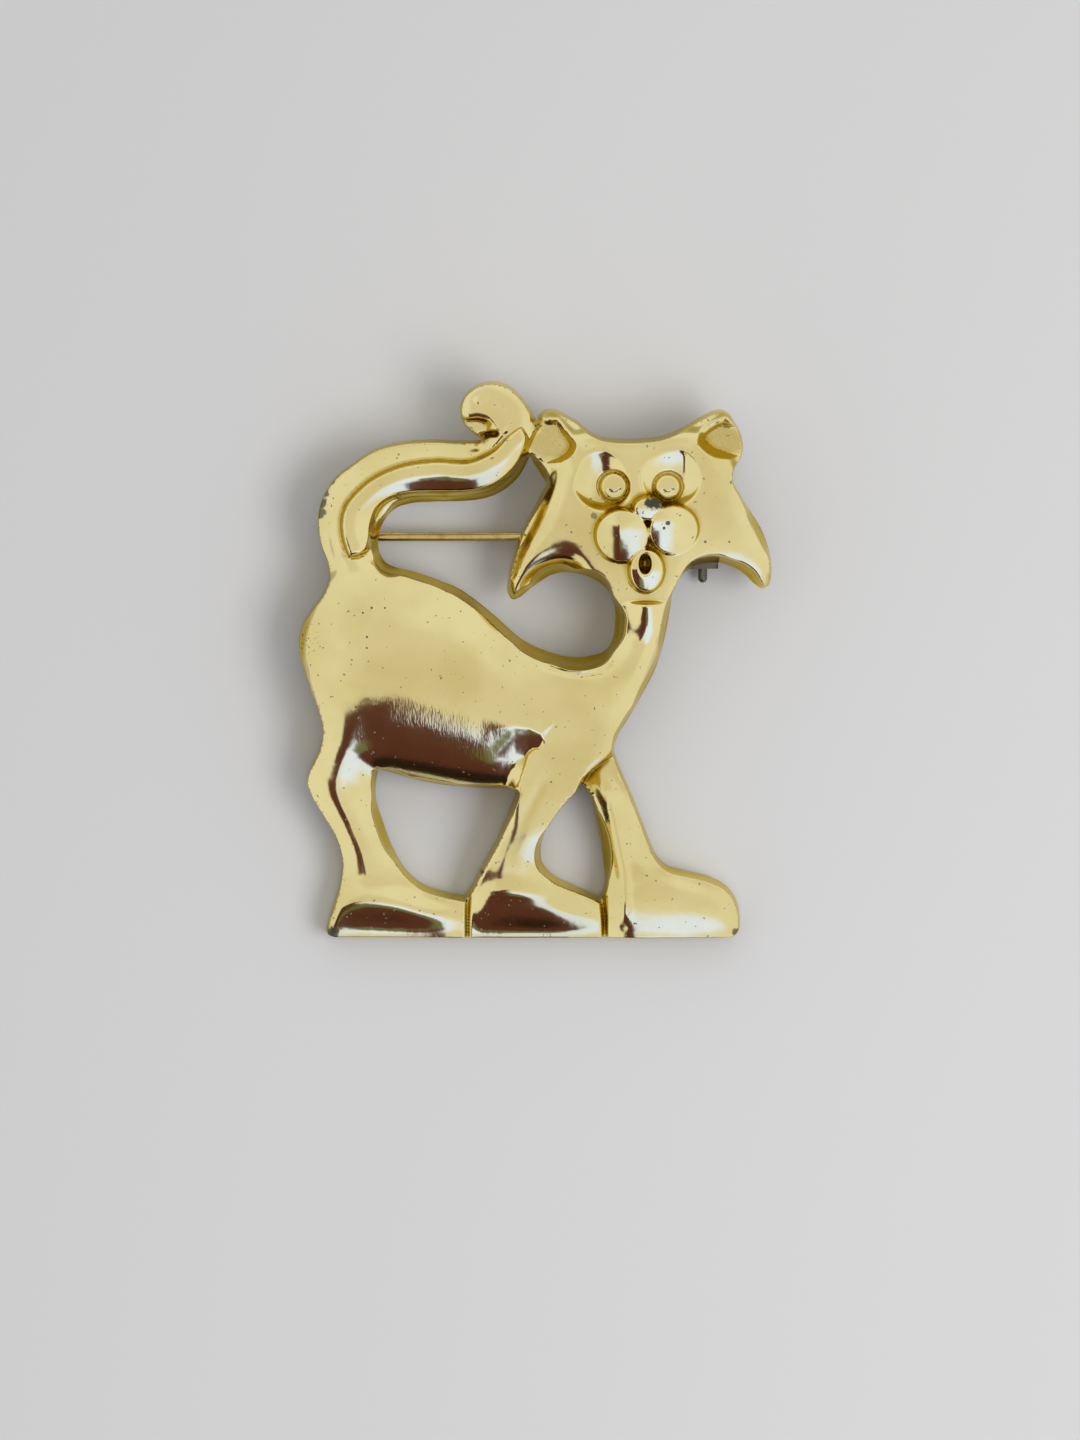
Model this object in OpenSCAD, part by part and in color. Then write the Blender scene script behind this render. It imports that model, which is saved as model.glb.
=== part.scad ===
/* [Casting] */
// Width of the brooch, from the haunch to the tip of the right cheek
brooch_w = 47.3; // [40:0.1:60]
// Height of the brooch, from the soles to the top of the curl
brooch_h = 55.7; // [48:0.1:70]
// Height of the crown of the body above the back rim
cast_depth = 7; // [6:0.1:9]
// Thickness of the cast wall round the hollow back
wall = 1.2; // [0.8:0.1:1.5]
// How far the side walls lean in between the rim and the face
draft_w = 0.7; // [0.4:0.1:1]

/* [Face] */
// Radius of the left eye's bowl
left_eye_r = 3.15; // [2.6:0.05:3.4]
// Radius of the right eye's bowl
right_eye_r = 2.95; // [2.5:0.05:3.2]
// Height of the bottom of the sunken eyes above the back rim
eye_floor = 4.3; // [4:0.1:4.6]
// Depth of the bowl that each sunken eye is part of
eye_dip = 1.2; // [1:0.1:1.4]
// Radius of the raised pupil at its foot
pupil_r = 1.5; // [1:0.05:1.8]
// Radius of the pupil's flat top
pupil_flat_r = 1; // [0.7:0.05:1.2]
// Height of the pupil above the bottom of the eye
pupil_rise = 0.9; // [0.6:0.05:1.2]
// Width of the nose
nose_w = 3.3; // [2.4:0.1:4]
// Length of the nose
nose_len = 2.7; // [2:0.1:3.4]
// Height of the nose above the back rim
nose_top = 8; // [7:0.1:9]
// Radius of each whisker puff of the muzzle
puff_r = 2.5; // [2:0.05:2.8]
// Height of the whisker puffs above the back rim
puff_top = 7.4; // [6.6:0.1:8.5]
// Width of the chin
chin_w = 4; // [3:0.1:5]
// Height of the chin above the back rim
chin_top = 6.6; // [5.6:0.1:7]
// Width of the open mouth
mouth_w = 0.9; // [0.5:0.1:1.4]
// Depth of the open mouth and of the hollow ears
recess = 0.9; // [0.4:0.1:1.2]

/* [Pin] */
// Radius of the pin wire
pin_r = 0.45; // [0.35:0.01:0.5]
// Distance from the back rim to the middle of the pin
pin_drop = 1.9; // [1.8:0.05:2.6]
// Length of the pin from its hinge to its point
pin_len = 37.2; // [36.6:0.1:38.6]
// Length of the tapered point
point_len = 5.2; // [4.6:0.1:7]
// Radius of the round eye at the hinge end of the pin
eyelet_r = 1.2; // [1:0.05:1.3]
// Thickness of that eye
eyelet_t = 0.9; // [0.8:0.05:1.2]

/* [Hinge] */
// Radius of the hinge rivet
rivet_r = 0.4; // [0.3:0.01:0.5]
// Radius of the rivet's heads
rivet_head_r = 0.7; // [0.6:0.05:0.9]
// Thickness of the rivet's heads
rivet_head_t = 0.25; // [0.15:0.05:0.4]
// Thickness of the sheet that the hinge and the catch are made from
sheet = 0.5; // [0.3:0.05:0.6]
// Width of the hinge plate along the pin
hinge_plate_w = 3.4; // [3:0.1:4]
// Length of the hinge plate across the pin
hinge_plate_len = 5.2; // [5:0.1:6.5]

/* [Catch] */
// Outer radius of the catch barrel and of the hinge ears
barrel_r = 1.7; // [1.6:0.05:1.85]
// Radius of the bore that the roller turns in
bore_r = 1.2; // [1.1:0.05:1.25]
// Length of the catch barrel along the pin
barrel_len = 3; // [2.6:0.1:4]
// Length of the catch plate across the pin
catch_plate_len = 6.2; // [6:0.1:7]
// Radius of the roller's lever
lever_r = 0.47; // [0.35:0.01:0.55]
// Reach of the lever from the middle of the pin
lever_reach = 4.6; // [3.8:0.1:6]
// Radius of the cast studs that hold the plates
stud_r = 0.45; // [0.35:0.05:0.55]

/* [Fits] */
// Gap round a turning or riveted fit
run_gap = 0.05; // [0.03:0.01:0.08]
// Gap between faces that rest on each other
seat_gap = 0.02; // [0.01:0.01:0.04]

/* [Hidden] */
gold = [0.86, 0.80, 0.50];
dark_steel = [0.27, 0.26, 0.22];
row_steps = 2;
dome_steps = 6;
hollow_steps = 4;
shortest_rung = 0.5;
below_rim = 1;
fine = 72;
coarse = 24;

// Places on the brooch, as shares of its width and height
hinge_at = [0.108, 0.718];
catch_at = [0.854, 0.718];
left_eye_at = [0.645, 0.813];
right_eye_at = [0.788, 0.816];
left_pupil_at = [0.667, 0.802];
right_pupil_at = [0.778, 0.799];
nose_at = [0.738, 0.761];
left_puff_at = [0.687, 0.713];
right_puff_at = [0.790, 0.7235];
chin_at = [0.735, 0.640];
mouth_at = [0.732, 0.664];

// Each table is a ladder along one limb. A rung runs from the limb's left edge to its right edge,
// as seen when moving along it, and its columns are:
// left x, left y, right x, right y, height of the face edge, height of the crown, place of the crown.
// x and y are shares of the brooch's width and height, the heights are shares of the cast depth,
// and the crown's place is a share of the rung.
tail_rungs = [
    [0.074, 0.599, 0.180, 0.606, 0.36, 0.66, 0.5],
    [0.063, 0.651, 0.195, 0.665, 0.36, 0.66, 0.5],
    [0.049, 0.701, 0.167, 0.701, 0.36, 0.66, 0.5],
    [0.041, 0.750, 0.173, 0.732, 0.36, 0.66, 0.5],
    [0.057, 0.802, 0.188, 0.759, 0.36, 0.66, 0.5],
    [0.106, 0.849, 0.216, 0.776, 0.36, 0.66, 0.5],
    [0.171, 0.880, 0.249, 0.781, 0.36, 0.68, 0.5],
    [0.256, 0.893, 0.298, 0.782, 0.36, 0.68, 0.5],
    [0.345, 0.894, 0.357, 0.784, 0.36, 0.68, 0.5],
    [0.395, 0.901, 0.419, 0.797, 0.36, 0.68, 0.5],
    [0.408, 0.915, 0.465, 0.822, 0.36, 0.70, 0.5]
];
curl_rungs = [
    [0.390, 0.901, 0.419, 0.797, 0.36, 0.68, 0.6],
    [0.399, 0.906, 0.465, 0.822, 0.36, 0.72, 0.6],
    [0.402, 0.911, 0.495, 0.874, 0.36, 0.76, 0.6],
    [0.402, 0.916, 0.502, 0.915, 0.36, 0.78, 0.6],
    [0.400, 0.920, 0.486, 0.958, 0.36, 0.78, 0.6],
    [0.396, 0.923, 0.450, 0.988, 0.36, 0.76, 0.6],
    [0.391, 0.924, 0.402, 1.000, 0.36, 0.74, 0.6],
    [0.386, 0.923, 0.362, 0.986, 0.36, 0.70, 0.6],
    [0.382, 0.920, 0.340, 0.950, 0.36, 0.66, 0.6],
    [0.380, 0.915, 0.347, 0.921, 0.36, 0.58, 0.5],
    [0.384, 0.907, 0.372, 0.897, 0.34, 0.48, 0.5]
];
tail_band_rungs = [
    [0.104, 0.683, 0.142, 0.685, 0.50, 0.74, 0.5],
    [0.096, 0.724, 0.160, 0.712, 0.52, 0.80, 0.5],
    [0.091, 0.764, 0.170, 0.750, 0.52, 0.82, 0.5],
    [0.137, 0.818, 0.205, 0.784, 0.52, 0.84, 0.5],
    [0.199, 0.847, 0.245, 0.796, 0.52, 0.84, 0.5],
    [0.290, 0.860, 0.311, 0.798, 0.52, 0.84, 0.5],
    [0.364, 0.859, 0.378, 0.800, 0.52, 0.84, 0.5],
    [0.419, 0.878, 0.452, 0.830, 0.52, 0.82, 0.5],
    [0.462, 0.914, 0.486, 0.884, 0.50, 0.74, 0.5]
];
trunk_rungs = [
    [0.008, 0.555, 0.002, 0.507, 0.34, 0.46, 0.5],
    [0.027, 0.595, 0.015, 0.469, 0.36, 0.66, 0.5],
    [0.061, 0.638, 0.040, 0.413, 0.36, 0.82, 0.5],
    [0.112, 0.663, 0.076, 0.350, 0.36, 0.92, 0.5],
    [0.192, 0.663, 0.146, 0.311, 0.36, 0.97, 0.5],
    [0.258, 0.653, 0.224, 0.287, 0.36, 1.00, 0.5],
    [0.364, 0.613, 0.378, 0.267, 0.36, 1.00, 0.5],
    [0.465, 0.541, 0.520, 0.267, 0.36, 0.96, 0.5],
    [0.573, 0.503, 0.643, 0.325, 0.36, 0.88, 0.5],
    [0.645, 0.516, 0.712, 0.415, 0.36, 0.82, 0.55],
    [0.668, 0.539, 0.742, 0.462, 0.36, 0.80, 0.6],
    [0.677, 0.572, 0.765, 0.516, 0.34, 0.76, 0.62],
    [0.674, 0.600, 0.782, 0.562, 0.34, 0.72, 0.62],
    [0.664, 0.626, 0.795, 0.611, 0.34, 0.70, 0.6],
    [0.669, 0.657, 0.818, 0.647, 0.34, 0.68, 0.6]
];
hind_leg_rungs = [
    [0.074, 0.066, 0.323, 0.078, 0.36, 0.70, 0.4],
    [0.089, 0.105, 0.264, 0.093, 0.36, 0.72, 0.4],
    [0.091, 0.141, 0.228, 0.118, 0.36, 0.76, 0.4],
    [0.079, 0.181, 0.199, 0.161, 0.36, 0.78, 0.4],
    [0.053, 0.221, 0.178, 0.208, 0.36, 0.80, 0.4],
    [0.027, 0.258, 0.165, 0.246, 0.36, 0.80, 0.4],
    [0.017, 0.285, 0.165, 0.282, 0.36, 0.82, 0.4],
    [0.034, 0.323, 0.182, 0.318, 0.36, 0.86, 0.45],
    [0.050, 0.357, 0.214, 0.354, 0.36, 0.88, 0.5],
    [0.040, 0.415, 0.235, 0.404, 0.36, 0.90, 0.5]
];
hind_foot_rungs = [
    [0.074, 0.066, 0.058, 0.006, 0.30, 0.50, 0.5],
    [0.087, 0.102, 0.097, 0.000, 0.36, 0.66, 0.5],
    [0.154, 0.123, 0.154, 0.000, 0.36, 0.72, 0.5],
    [0.228, 0.116, 0.228, 0.000, 0.36, 0.74, 0.5],
    [0.281, 0.087, 0.281, 0.000, 0.36, 0.70, 0.5],
    [0.323, 0.078, 0.323, 0.000, 0.36, 0.64, 0.5],
    [0.355, 0.071, 0.355, 0.000, 0.34, 0.54, 0.5]
];
near_leg_rungs = [
    [0.355, 0.078, 0.605, 0.082, 0.36, 0.70, 0.4],
    [0.381, 0.118, 0.531, 0.111, 0.36, 0.74, 0.4],
    [0.404, 0.156, 0.510, 0.150, 0.36, 0.78, 0.4],
    [0.429, 0.195, 0.522, 0.194, 0.36, 0.80, 0.4],
    [0.448, 0.231, 0.548, 0.235, 0.36, 0.84, 0.4],
    [0.461, 0.264, 0.575, 0.267, 0.36, 0.90, 0.4],
    [0.467, 0.309, 0.611, 0.309, 0.36, 0.96, 0.4],
    [0.476, 0.345, 0.615, 0.345, 0.36, 0.96, 0.4]
];
near_foot_rungs = [
    [0.356, 0.078, 0.356, 0.000, 0.34, 0.56, 0.5],
    [0.391, 0.127, 0.391, 0.000, 0.36, 0.70, 0.5],
    [0.449, 0.146, 0.449, 0.000, 0.36, 0.76, 0.5],
    [0.516, 0.123, 0.516, 0.000, 0.36, 0.74, 0.5],
    [0.564, 0.100, 0.564, 0.000, 0.36, 0.70, 0.5],
    [0.611, 0.082, 0.611, 0.000, 0.36, 0.64, 0.5],
    [0.644, 0.069, 0.644, 0.000, 0.34, 0.54, 0.5]
];
far_leg_rungs = [
    [0.645, 0.084, 0.789, 0.123, 0.34, 0.62, 0.35],
    [0.645, 0.123, 0.763, 0.140, 0.34, 0.64, 0.35],
    [0.636, 0.170, 0.742, 0.170, 0.34, 0.64, 0.35],
    [0.626, 0.217, 0.721, 0.219, 0.34, 0.64, 0.35],
    [0.615, 0.255, 0.700, 0.264, 0.34, 0.62, 0.35],
    [0.603, 0.280, 0.670, 0.321, 0.34, 0.60, 0.4],
    [0.590, 0.309, 0.649, 0.345, 0.34, 0.60, 0.4]
];
far_foot_rungs = [
    [0.645, 0.120, 0.645, 0.000, 0.34, 0.56, 0.5],
    [0.710, 0.134, 0.710, 0.000, 0.34, 0.64, 0.5],
    [0.767, 0.134, 0.767, 0.000, 0.34, 0.64, 0.5],
    [0.818, 0.120, 0.818, 0.000, 0.34, 0.62, 0.5],
    [0.867, 0.109, 0.867, 0.000, 0.34, 0.60, 0.5],
    [0.905, 0.090, 0.905, 0.000, 0.34, 0.54, 0.5],
    [0.924, 0.068, 0.924, 0.004, 0.32, 0.46, 0.5],
    [0.931, 0.044, 0.931, 0.022, 0.30, 0.40, 0.5]
];
head_rungs = [
    [0.442, 0.622, 0.455, 0.609, 0.36, 0.44, 0.5],
    [0.440, 0.638, 0.469, 0.615, 0.40, 0.52, 0.5],
    [0.450, 0.683, 0.495, 0.638, 0.42, 0.60, 0.5],
    [0.469, 0.726, 0.529, 0.654, 0.44, 0.66, 0.5],
    [0.495, 0.771, 0.569, 0.658, 0.48, 0.70, 0.5],
    [0.520, 0.825, 0.607, 0.647, 0.52, 0.74, 0.45],
    [0.552, 0.876, 0.636, 0.624, 0.55, 0.76, 0.42],
    [0.615, 0.906, 0.664, 0.606, 0.57, 0.78, 0.4],
    [0.704, 0.898, 0.721, 0.600, 0.58, 0.78, 0.4],
    [0.789, 0.906, 0.774, 0.602, 0.57, 0.78, 0.4],
    [0.869, 0.894, 0.808, 0.647, 0.53, 0.76, 0.42],
    [0.918, 0.834, 0.835, 0.665, 0.44, 0.72, 0.55],
    [0.941, 0.786, 0.869, 0.674, 0.42, 0.70, 0.6],
    [0.966, 0.750, 0.905, 0.671, 0.40, 0.68, 0.6],
    [0.987, 0.710, 0.937, 0.654, 0.40, 0.64, 0.6],
    [0.999, 0.667, 0.962, 0.635, 0.38, 0.54, 0.55],
    [0.997, 0.642, 0.977, 0.626, 0.36, 0.44, 0.5]
];
left_ear_rungs = [
    [0.535, 0.825, 0.649, 0.892, 0.46, 0.70, 0.6],
    [0.501, 0.858, 0.600, 0.916, 0.46, 0.70, 0.7],
    [0.490, 0.885, 0.573, 0.935, 0.46, 0.68, 0.75],
    [0.499, 0.923, 0.552, 0.947, 0.44, 0.62, 0.7],
    [0.512, 0.942, 0.533, 0.950, 0.42, 0.52, 0.5]
];
right_ear_rungs = [
    [0.753, 0.894, 0.918, 0.825, 0.46, 0.72, 0.4],
    [0.814, 0.917, 0.934, 0.858, 0.46, 0.70, 0.35],
    [0.852, 0.935, 0.939, 0.885, 0.46, 0.68, 0.3],
    [0.879, 0.946, 0.924, 0.921, 0.44, 0.62, 0.3],
    [0.894, 0.950, 0.909, 0.941, 0.42, 0.52, 0.5]
];
limbs = [
    tail_rungs, curl_rungs, trunk_rungs, hind_leg_rungs, hind_foot_rungs, near_leg_rungs,
    near_foot_rungs, far_leg_rungs, far_foot_rungs, head_rungs, left_ear_rungs, right_ear_rungs
];

// Corners of the sunken floor of each ear, and of the scoop at the end of the curl,
// as shares of the brooch's width and height
left_ear_floor = [[0.470, 0.928], [0.546, 0.927], [0.582, 0.885], [0.571, 0.861], [0.475, 0.852]];
right_ear_floor = [[0.897, 0.938], [0.866, 0.911], [0.843, 0.887], [0.859, 0.864], [0.917, 0.861]];
curl_scoop = [[0.352, 0.917], [0.372, 0.929], [0.408, 0.922], [0.398, 0.908], [0.370, 0.902]];

pin_y = hinge_at.y * brooch_h;
hinge_x = hinge_at.x * brooch_w;
catch_x = catch_at.x * brooch_w;
ear_y = eyelet_t / 2 + run_gap;
eyelet_bore_r = rivet_r + run_gap;
neck_run_out = 0.7;
neck_len = barrel_r + neck_run_out;
neck_w = 1.7 * pin_r;
roller_r = bore_r - run_gap;
roller_slot_r = pin_r + run_gap;
exit_w = 2 * roller_slot_r + 0.1;
stud_lip = 0.15;
stud_head_r = stud_r + stud_lip;
stud_head_t = 0.25;
hinge_stud_y = hinge_plate_len / 2 - stud_head_r - stud_lip;
catch_stud_y = catch_plate_len / 2 - stud_head_r - stud_lip / 3;
pad_depth = 0.36 * cast_depth;
catch_pad_depth = 0.62 * cast_depth;
lever_gap = 0.12;
lever_turn = 95;

// The back rim meets the table at the soles, and the hinge and the catch barrel touch it too
pin_span = norm([pin_y, pin_drop]);
lie_lean = atan2(pin_drop, pin_y) + asin(barrel_r / pin_span);

// A point on a smooth curve that passes through rows b and c
function between(a, b, c, d, t) =
    0.5 * (2 * b + (c - a) * t + (2 * a - 5 * b + 4 * c - d) * t * t
    + (3 * b - a - 3 * c + d) * t * t * t);

// A table with extra rungs between its own
function smooth(rows, steps) =
    let (last = len(rows) - 1)
    [
        for (i = [0:last - 1], s = [0:steps - 1])
            between(rows[max(i - 1, 0)], rows[i], rows[i + 1], rows[min(i + 2, last)], s / steps),
        rows[last]
    ];

function spot(share) = [share.x * brooch_w, share.y * brooch_h];
function left_end(row) = spot([row[0], row[1]]);
function right_end(row) = spot([row[2], row[3]]);
function rung_middle(row) = (left_end(row) + right_end(row)) / 2;
function rung_len(row) = norm(right_end(row) - left_end(row));

// One cross-section over a rung: a leaning wall on each side and a dome between them.
// skin is how far the section lies inside the real surface.
function section(row, skin, steps) =
    let (
        start = left_end(row),
        across = (right_end(row) - start) / rung_len(row),
        span = rung_len(row) - 2 * skin,
        lean_in = min(draft_w, span * 0.3),
        edge = row[4] * cast_depth - skin,
        rise = (row[5] - row[4]) * cast_depth,
        inner = span - 2 * lean_in,
        peak = row[6],
        floor_z = skin > 0 ? -below_rim : 0,
        dome = [
            for (i = [1:steps - 1])
                let (a = 180 * i / steps, side = a <= 90 ? peak : 1 - peak)
                [lean_in + inner * (peak - side * cos(a)), edge + rise * sin(a)]
        ],
        outline = [[0, floor_z], [lean_in, edge], each dome, [span - lean_in, edge], [span, floor_z]]
    )
    [for (p = outline) [each (start + across * (skin + p.x)), p.y]];

module loft(rings) {
    ring_n = len(rings[0]);
    last = len(rings) - 1;
    polyhedron(
        points = [for (r = rings) each r],
        faces = [
            [for (j = [0:ring_n - 1]) j],
            [for (j = [ring_n - 1:-1:0]) last * ring_n + j],
            for (i = [0:last - 1], j = [0:ring_n - 1])
                [i * ring_n + j, (i + 1) * ring_n + j, i * ring_n + (j + 1) % ring_n],
            for (i = [0:last - 1], j = [0:ring_n - 1])
                [i * ring_n + (j + 1) % ring_n, (i + 1) * ring_n + j, (i + 1) * ring_n + (j + 1) % ring_n]
        ]
    );
}

module limb(rows) {
    loft([for (row = smooth(rows, row_steps)) section(row, 0, dome_steps)]);
}

// The hollow inside a limb, one wall smaller all round and closed at its two ends
module limb_hollow(rows) {
    all_rows = smooth(rows, row_steps);
    first = rung_middle(all_rows[0]);
    final = rung_middle(all_rows[len(all_rows) - 1]);
    kept = [
        for (row = all_rows)
            if (rung_len(row) > 2 * wall + shortest_rung
                && norm(rung_middle(row) - first) > wall
                && norm(rung_middle(row) - final) > wall)
                row
    ];
    loft([for (row = kept) section(row, wall, hollow_steps)]);
}

// A rounded bump that swells out of the face to a given height above the back rim
module bump(place, size_x, size_y, top, swell) {
    translate([each spot(place), 0])
        hull() {
            translate([0, 0, top - swell])
                scale([size_x, size_y, 2 * swell])
                    sphere(d = 1, $fn = coarse);
            cylinder(h = 1, d = min(size_x, size_y) / 2, $fn = coarse);
        }
}

// The bowl that is cut out of the face for one eye
module eye_bowl(place, r) {
    translate([each spot(place), eye_floor + eye_dip])
        hull() {
            scale([2 * r, 2 * r, 2 * eye_dip])
                sphere(d = 1, $fn = coarse);
            cylinder(h = cast_depth, r = r, $fn = coarse);
        }
}

// The metal behind one eye, and the pupil that stands in its bowl
module eye_back(place, pupil_place, r) {
    translate([each spot(place), eye_floor - wall])
        cylinder(h = wall, r = r, $fn = coarse);
    translate([each spot(pupil_place), eye_floor])
        hull() {
            translate([0, 0, -wall / 2])
                cylinder(h = wall, r = pupil_r, $fn = coarse);
            cylinder(h = pupil_rise, r = pupil_flat_r, $fn = coarse);
        }
}

module muzzle() {
    bump(nose_at, nose_w, nose_len, nose_top, nose_len);
    bump(left_puff_at, 2 * puff_r, 2.1 * puff_r, puff_top, puff_r);
    bump(right_puff_at, 2 * puff_r, 2 * puff_r, puff_top, puff_r);
    bump(chin_at, chin_w, 0.8 * chin_w, chin_top, chin_w / 2);
}

// A shallow recess with a flat floor, cut down from above
module sunken(corners, floor_z) {
    translate([0, 0, floor_z])
        linear_extrude(height = cast_depth)
            polygon([for (c = corners) spot(c)]);
}

module mouth() {
    translate([each spot(mouth_at), chin_top - recess])
        hull()
            for (side = [-1, 1])
                translate([0, side * mouth_w / 2, 0])
                    cylinder(h = cast_depth, d = mouth_w, $fn = coarse);
}

// A cast pad inside the hollow, with its studs riveted over the plate that sits on it
module pad(place, size_x, low_y, high_y, depth, stud_ys) {
    translate([each spot(place), 0]) {
        translate([-size_x / 2, low_y, 0])
            cube([size_x, high_y - low_y, depth]);
        for (y = stud_ys)
            translate([0, y, 0]) {
                translate([0, 0, -sheet - 2 * seat_gap - stud_head_t])
                    cylinder(h = depth, r = stud_r, $fn = coarse);
                translate([0, 0, -sheet - 2 * seat_gap - stud_head_t])
                    cylinder(h = stud_head_t, r = stud_head_r, $fn = coarse);
            }
    }
}

module pads() {
    half_hinge = hinge_plate_len / 2;
    pad(hinge_at, hinge_plate_w, -half_hinge, half_hinge, pad_depth, [-hinge_stud_y, hinge_stud_y]);
    pad(catch_at, barrel_len, -bore_r, catch_plate_len / 2, catch_pad_depth, [catch_stud_y]);
}

// The cast cat: lofted limbs and a raised face in front, hollow behind
module cat_casting() {
    color(gold)
        as_it_lies()
            union() {
                difference() {
                    union() {
                        for (rows = limbs)
                            limb(rows);
                        limb(tail_band_rungs);
                        muzzle();
                    }
                    eye_bowl(left_eye_at, left_eye_r);
                    eye_bowl(right_eye_at, right_eye_r);
                    for (rows = limbs)
                        limb_hollow(rows);
                    sunken(left_ear_floor, 0.58 * cast_depth - recess / 2);
                    sunken(right_ear_floor, 0.58 * cast_depth - recess / 2);
                    sunken(curl_scoop, 0.36 * cast_depth);
                    mouth();
                }
                eye_back(left_eye_at, left_pupil_at, left_eye_r);
                eye_back(right_eye_at, right_pupil_at, right_eye_r);
                pads();
            }
}

// A plate behind the rim with a hole for each cast stud
module stud_plate(size_x, size_y, stud_ys) {
    difference() {
        translate([-size_x / 2, -size_y / 2, -sheet - seat_gap])
            cube([size_x, size_y, sheet]);
        for (y = stud_ys)
            translate([0, y, -sheet - 2 * seat_gap])
                cylinder(h = sheet + 4 * seat_gap, r = stud_r + run_gap, $fn = fine);
    }
}

// A cylinder across the pin, centred on the pin's middle line
module across_pin(r, len) {
    translate([0, 0, -pin_drop])
        rotate([90, 0, 0])
            cylinder(h = len, r = r, center = true, $fn = fine);
}

// A cylinder along the pin, from one distance to another
module along_pin(r1, r2, from, to) {
    translate([from, 0, -pin_drop])
        rotate([0, 90, 0])
            cylinder(h = to - from, r1 = r1, r2 = r2, $fn = fine);
}

module at_hinge() {
    translate([hinge_x, pin_y, 0])
        children();
}

module at_catch() {
    translate([catch_x, pin_y, 0])
        children();
}

module hinge_ear() {
    difference() {
        union() {
            across_pin(barrel_r, sheet);
            translate([-barrel_r, -sheet / 2, -pin_drop])
                cube([2 * barrel_r, sheet, pin_drop - seat_gap]);
        }
        across_pin(rivet_r + seat_gap, 2 * sheet);
    }
}

module hinge_bracket() {
    color(dark_steel)
        as_it_lies()
            at_hinge() {
                stud_plate(hinge_plate_w, hinge_plate_len, [-hinge_stud_y, hinge_stud_y]);
                for (side = [-1, 1])
                    translate([0, side * (ear_y + sheet / 2), 0])
                        hinge_ear();
            }
}

module hinge_rivet() {
    head_y = ear_y + sheet + seat_gap + rivet_head_t / 2;
    color(gold)
        as_it_lies()
            at_hinge() {
                across_pin(rivet_r, 2 * head_y);
                for (side = [-1, 1])
                    translate([0, side * head_y, 0])
                        across_pin(rivet_head_r, rivet_head_t);
            }
}

// The flattened end of the wire, between the hinge's ears
module pin_neck() {
    translate([0, -neck_w / 2, -pin_drop - neck_w / 2])
        cube([neck_len, neck_w, neck_w]);
}

module pin_stem() {
    color(gold)
        as_it_lies()
            at_hinge() {
                difference() {
                    union() {
                        across_pin(eyelet_r, eyelet_t);
                        pin_neck();
                    }
                    across_pin(eyelet_bore_r, 2 * eyelet_t);
                }
                along_pin(pin_r, pin_r, neck_len, pin_len - point_len);
                along_pin(pin_r, pin_r / 6, pin_len - point_len, pin_len);
            }
}

// The sector of the barrel wall that the lever sweeps through, from below the plate to behind the roller
module lever_window() {
    half_angle = asin((lever_r + lever_gap) / bore_r);
    step = (lever_turn + 2 * half_angle) / 6;
    reach = 2 * barrel_r;
    translate([-lever_r - lever_gap, 0, -pin_drop])
        rotate([0, 90, 0])
            linear_extrude(height = 2 * (lever_r + lever_gap))
                polygon([
                    [0, 0],
                    for (i = [0:6])
                        let (a = i * step - half_angle)
                        [reach * sin(a), -reach * cos(a)]
                ]);
}

module catch_housing() {
    color(dark_steel)
        as_it_lies()
            at_catch()
                difference() {
                    union() {
                        stud_plate(barrel_len, catch_plate_len, [catch_stud_y]);
                        along_pin(barrel_r, barrel_r, -barrel_len / 2, barrel_len / 2);
                        translate([-barrel_len / 2, -bore_r, -pin_drop])
                            cube([barrel_len, 2 * bore_r, pin_drop - seat_gap]);
                    }
                    along_pin(bore_r, bore_r, -barrel_len, barrel_len);
                    translate([-barrel_len, -exit_w / 2, -pin_drop - 2 * barrel_r])
                        cube([2 * barrel_len, exit_w, 2 * barrel_r]);
                    lever_window();
                }
}

// The roller that traps the pin's point, with its lever towards the feet when it is open
module catch_roller() {
    ball_y = lever_reach - lever_r;
    color(dark_steel)
        as_it_lies()
            at_catch() {
                difference() {
                    along_pin(roller_r, roller_r, -barrel_len / 2, barrel_len / 2);
                    along_pin(roller_slot_r, roller_slot_r, -barrel_len, barrel_len);
                    translate([-barrel_len, -roller_slot_r, -pin_drop - 2 * roller_r])
                        cube([2 * barrel_len, 2 * roller_slot_r, 2 * roller_r]);
                }
                translate([0, -ball_y, -pin_drop]) {
                    sphere(r = lever_r, $fn = fine);
                    rotate([-90, 0, 0])
                        cylinder(h = ball_y - roller_slot_r - run_gap, r = lever_r, $fn = fine);
                }
            }
}

// Leans the brooch back on its hinge and catch, and sets its place on the table
module as_it_lies() {
    translate([-brooch_w / 2, -brooch_h * cos(lie_lean) / 2, 0])
        rotate([lie_lean, 0, 0])
            children();
}

cat_casting();
hinge_bracket();
hinge_rivet();
pin_stem();
catch_housing();
catch_roller();
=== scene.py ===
import math

import bpy
import numpy as np
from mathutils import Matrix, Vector
from mathutils.geometry import delaunay_2d_cdt


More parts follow.
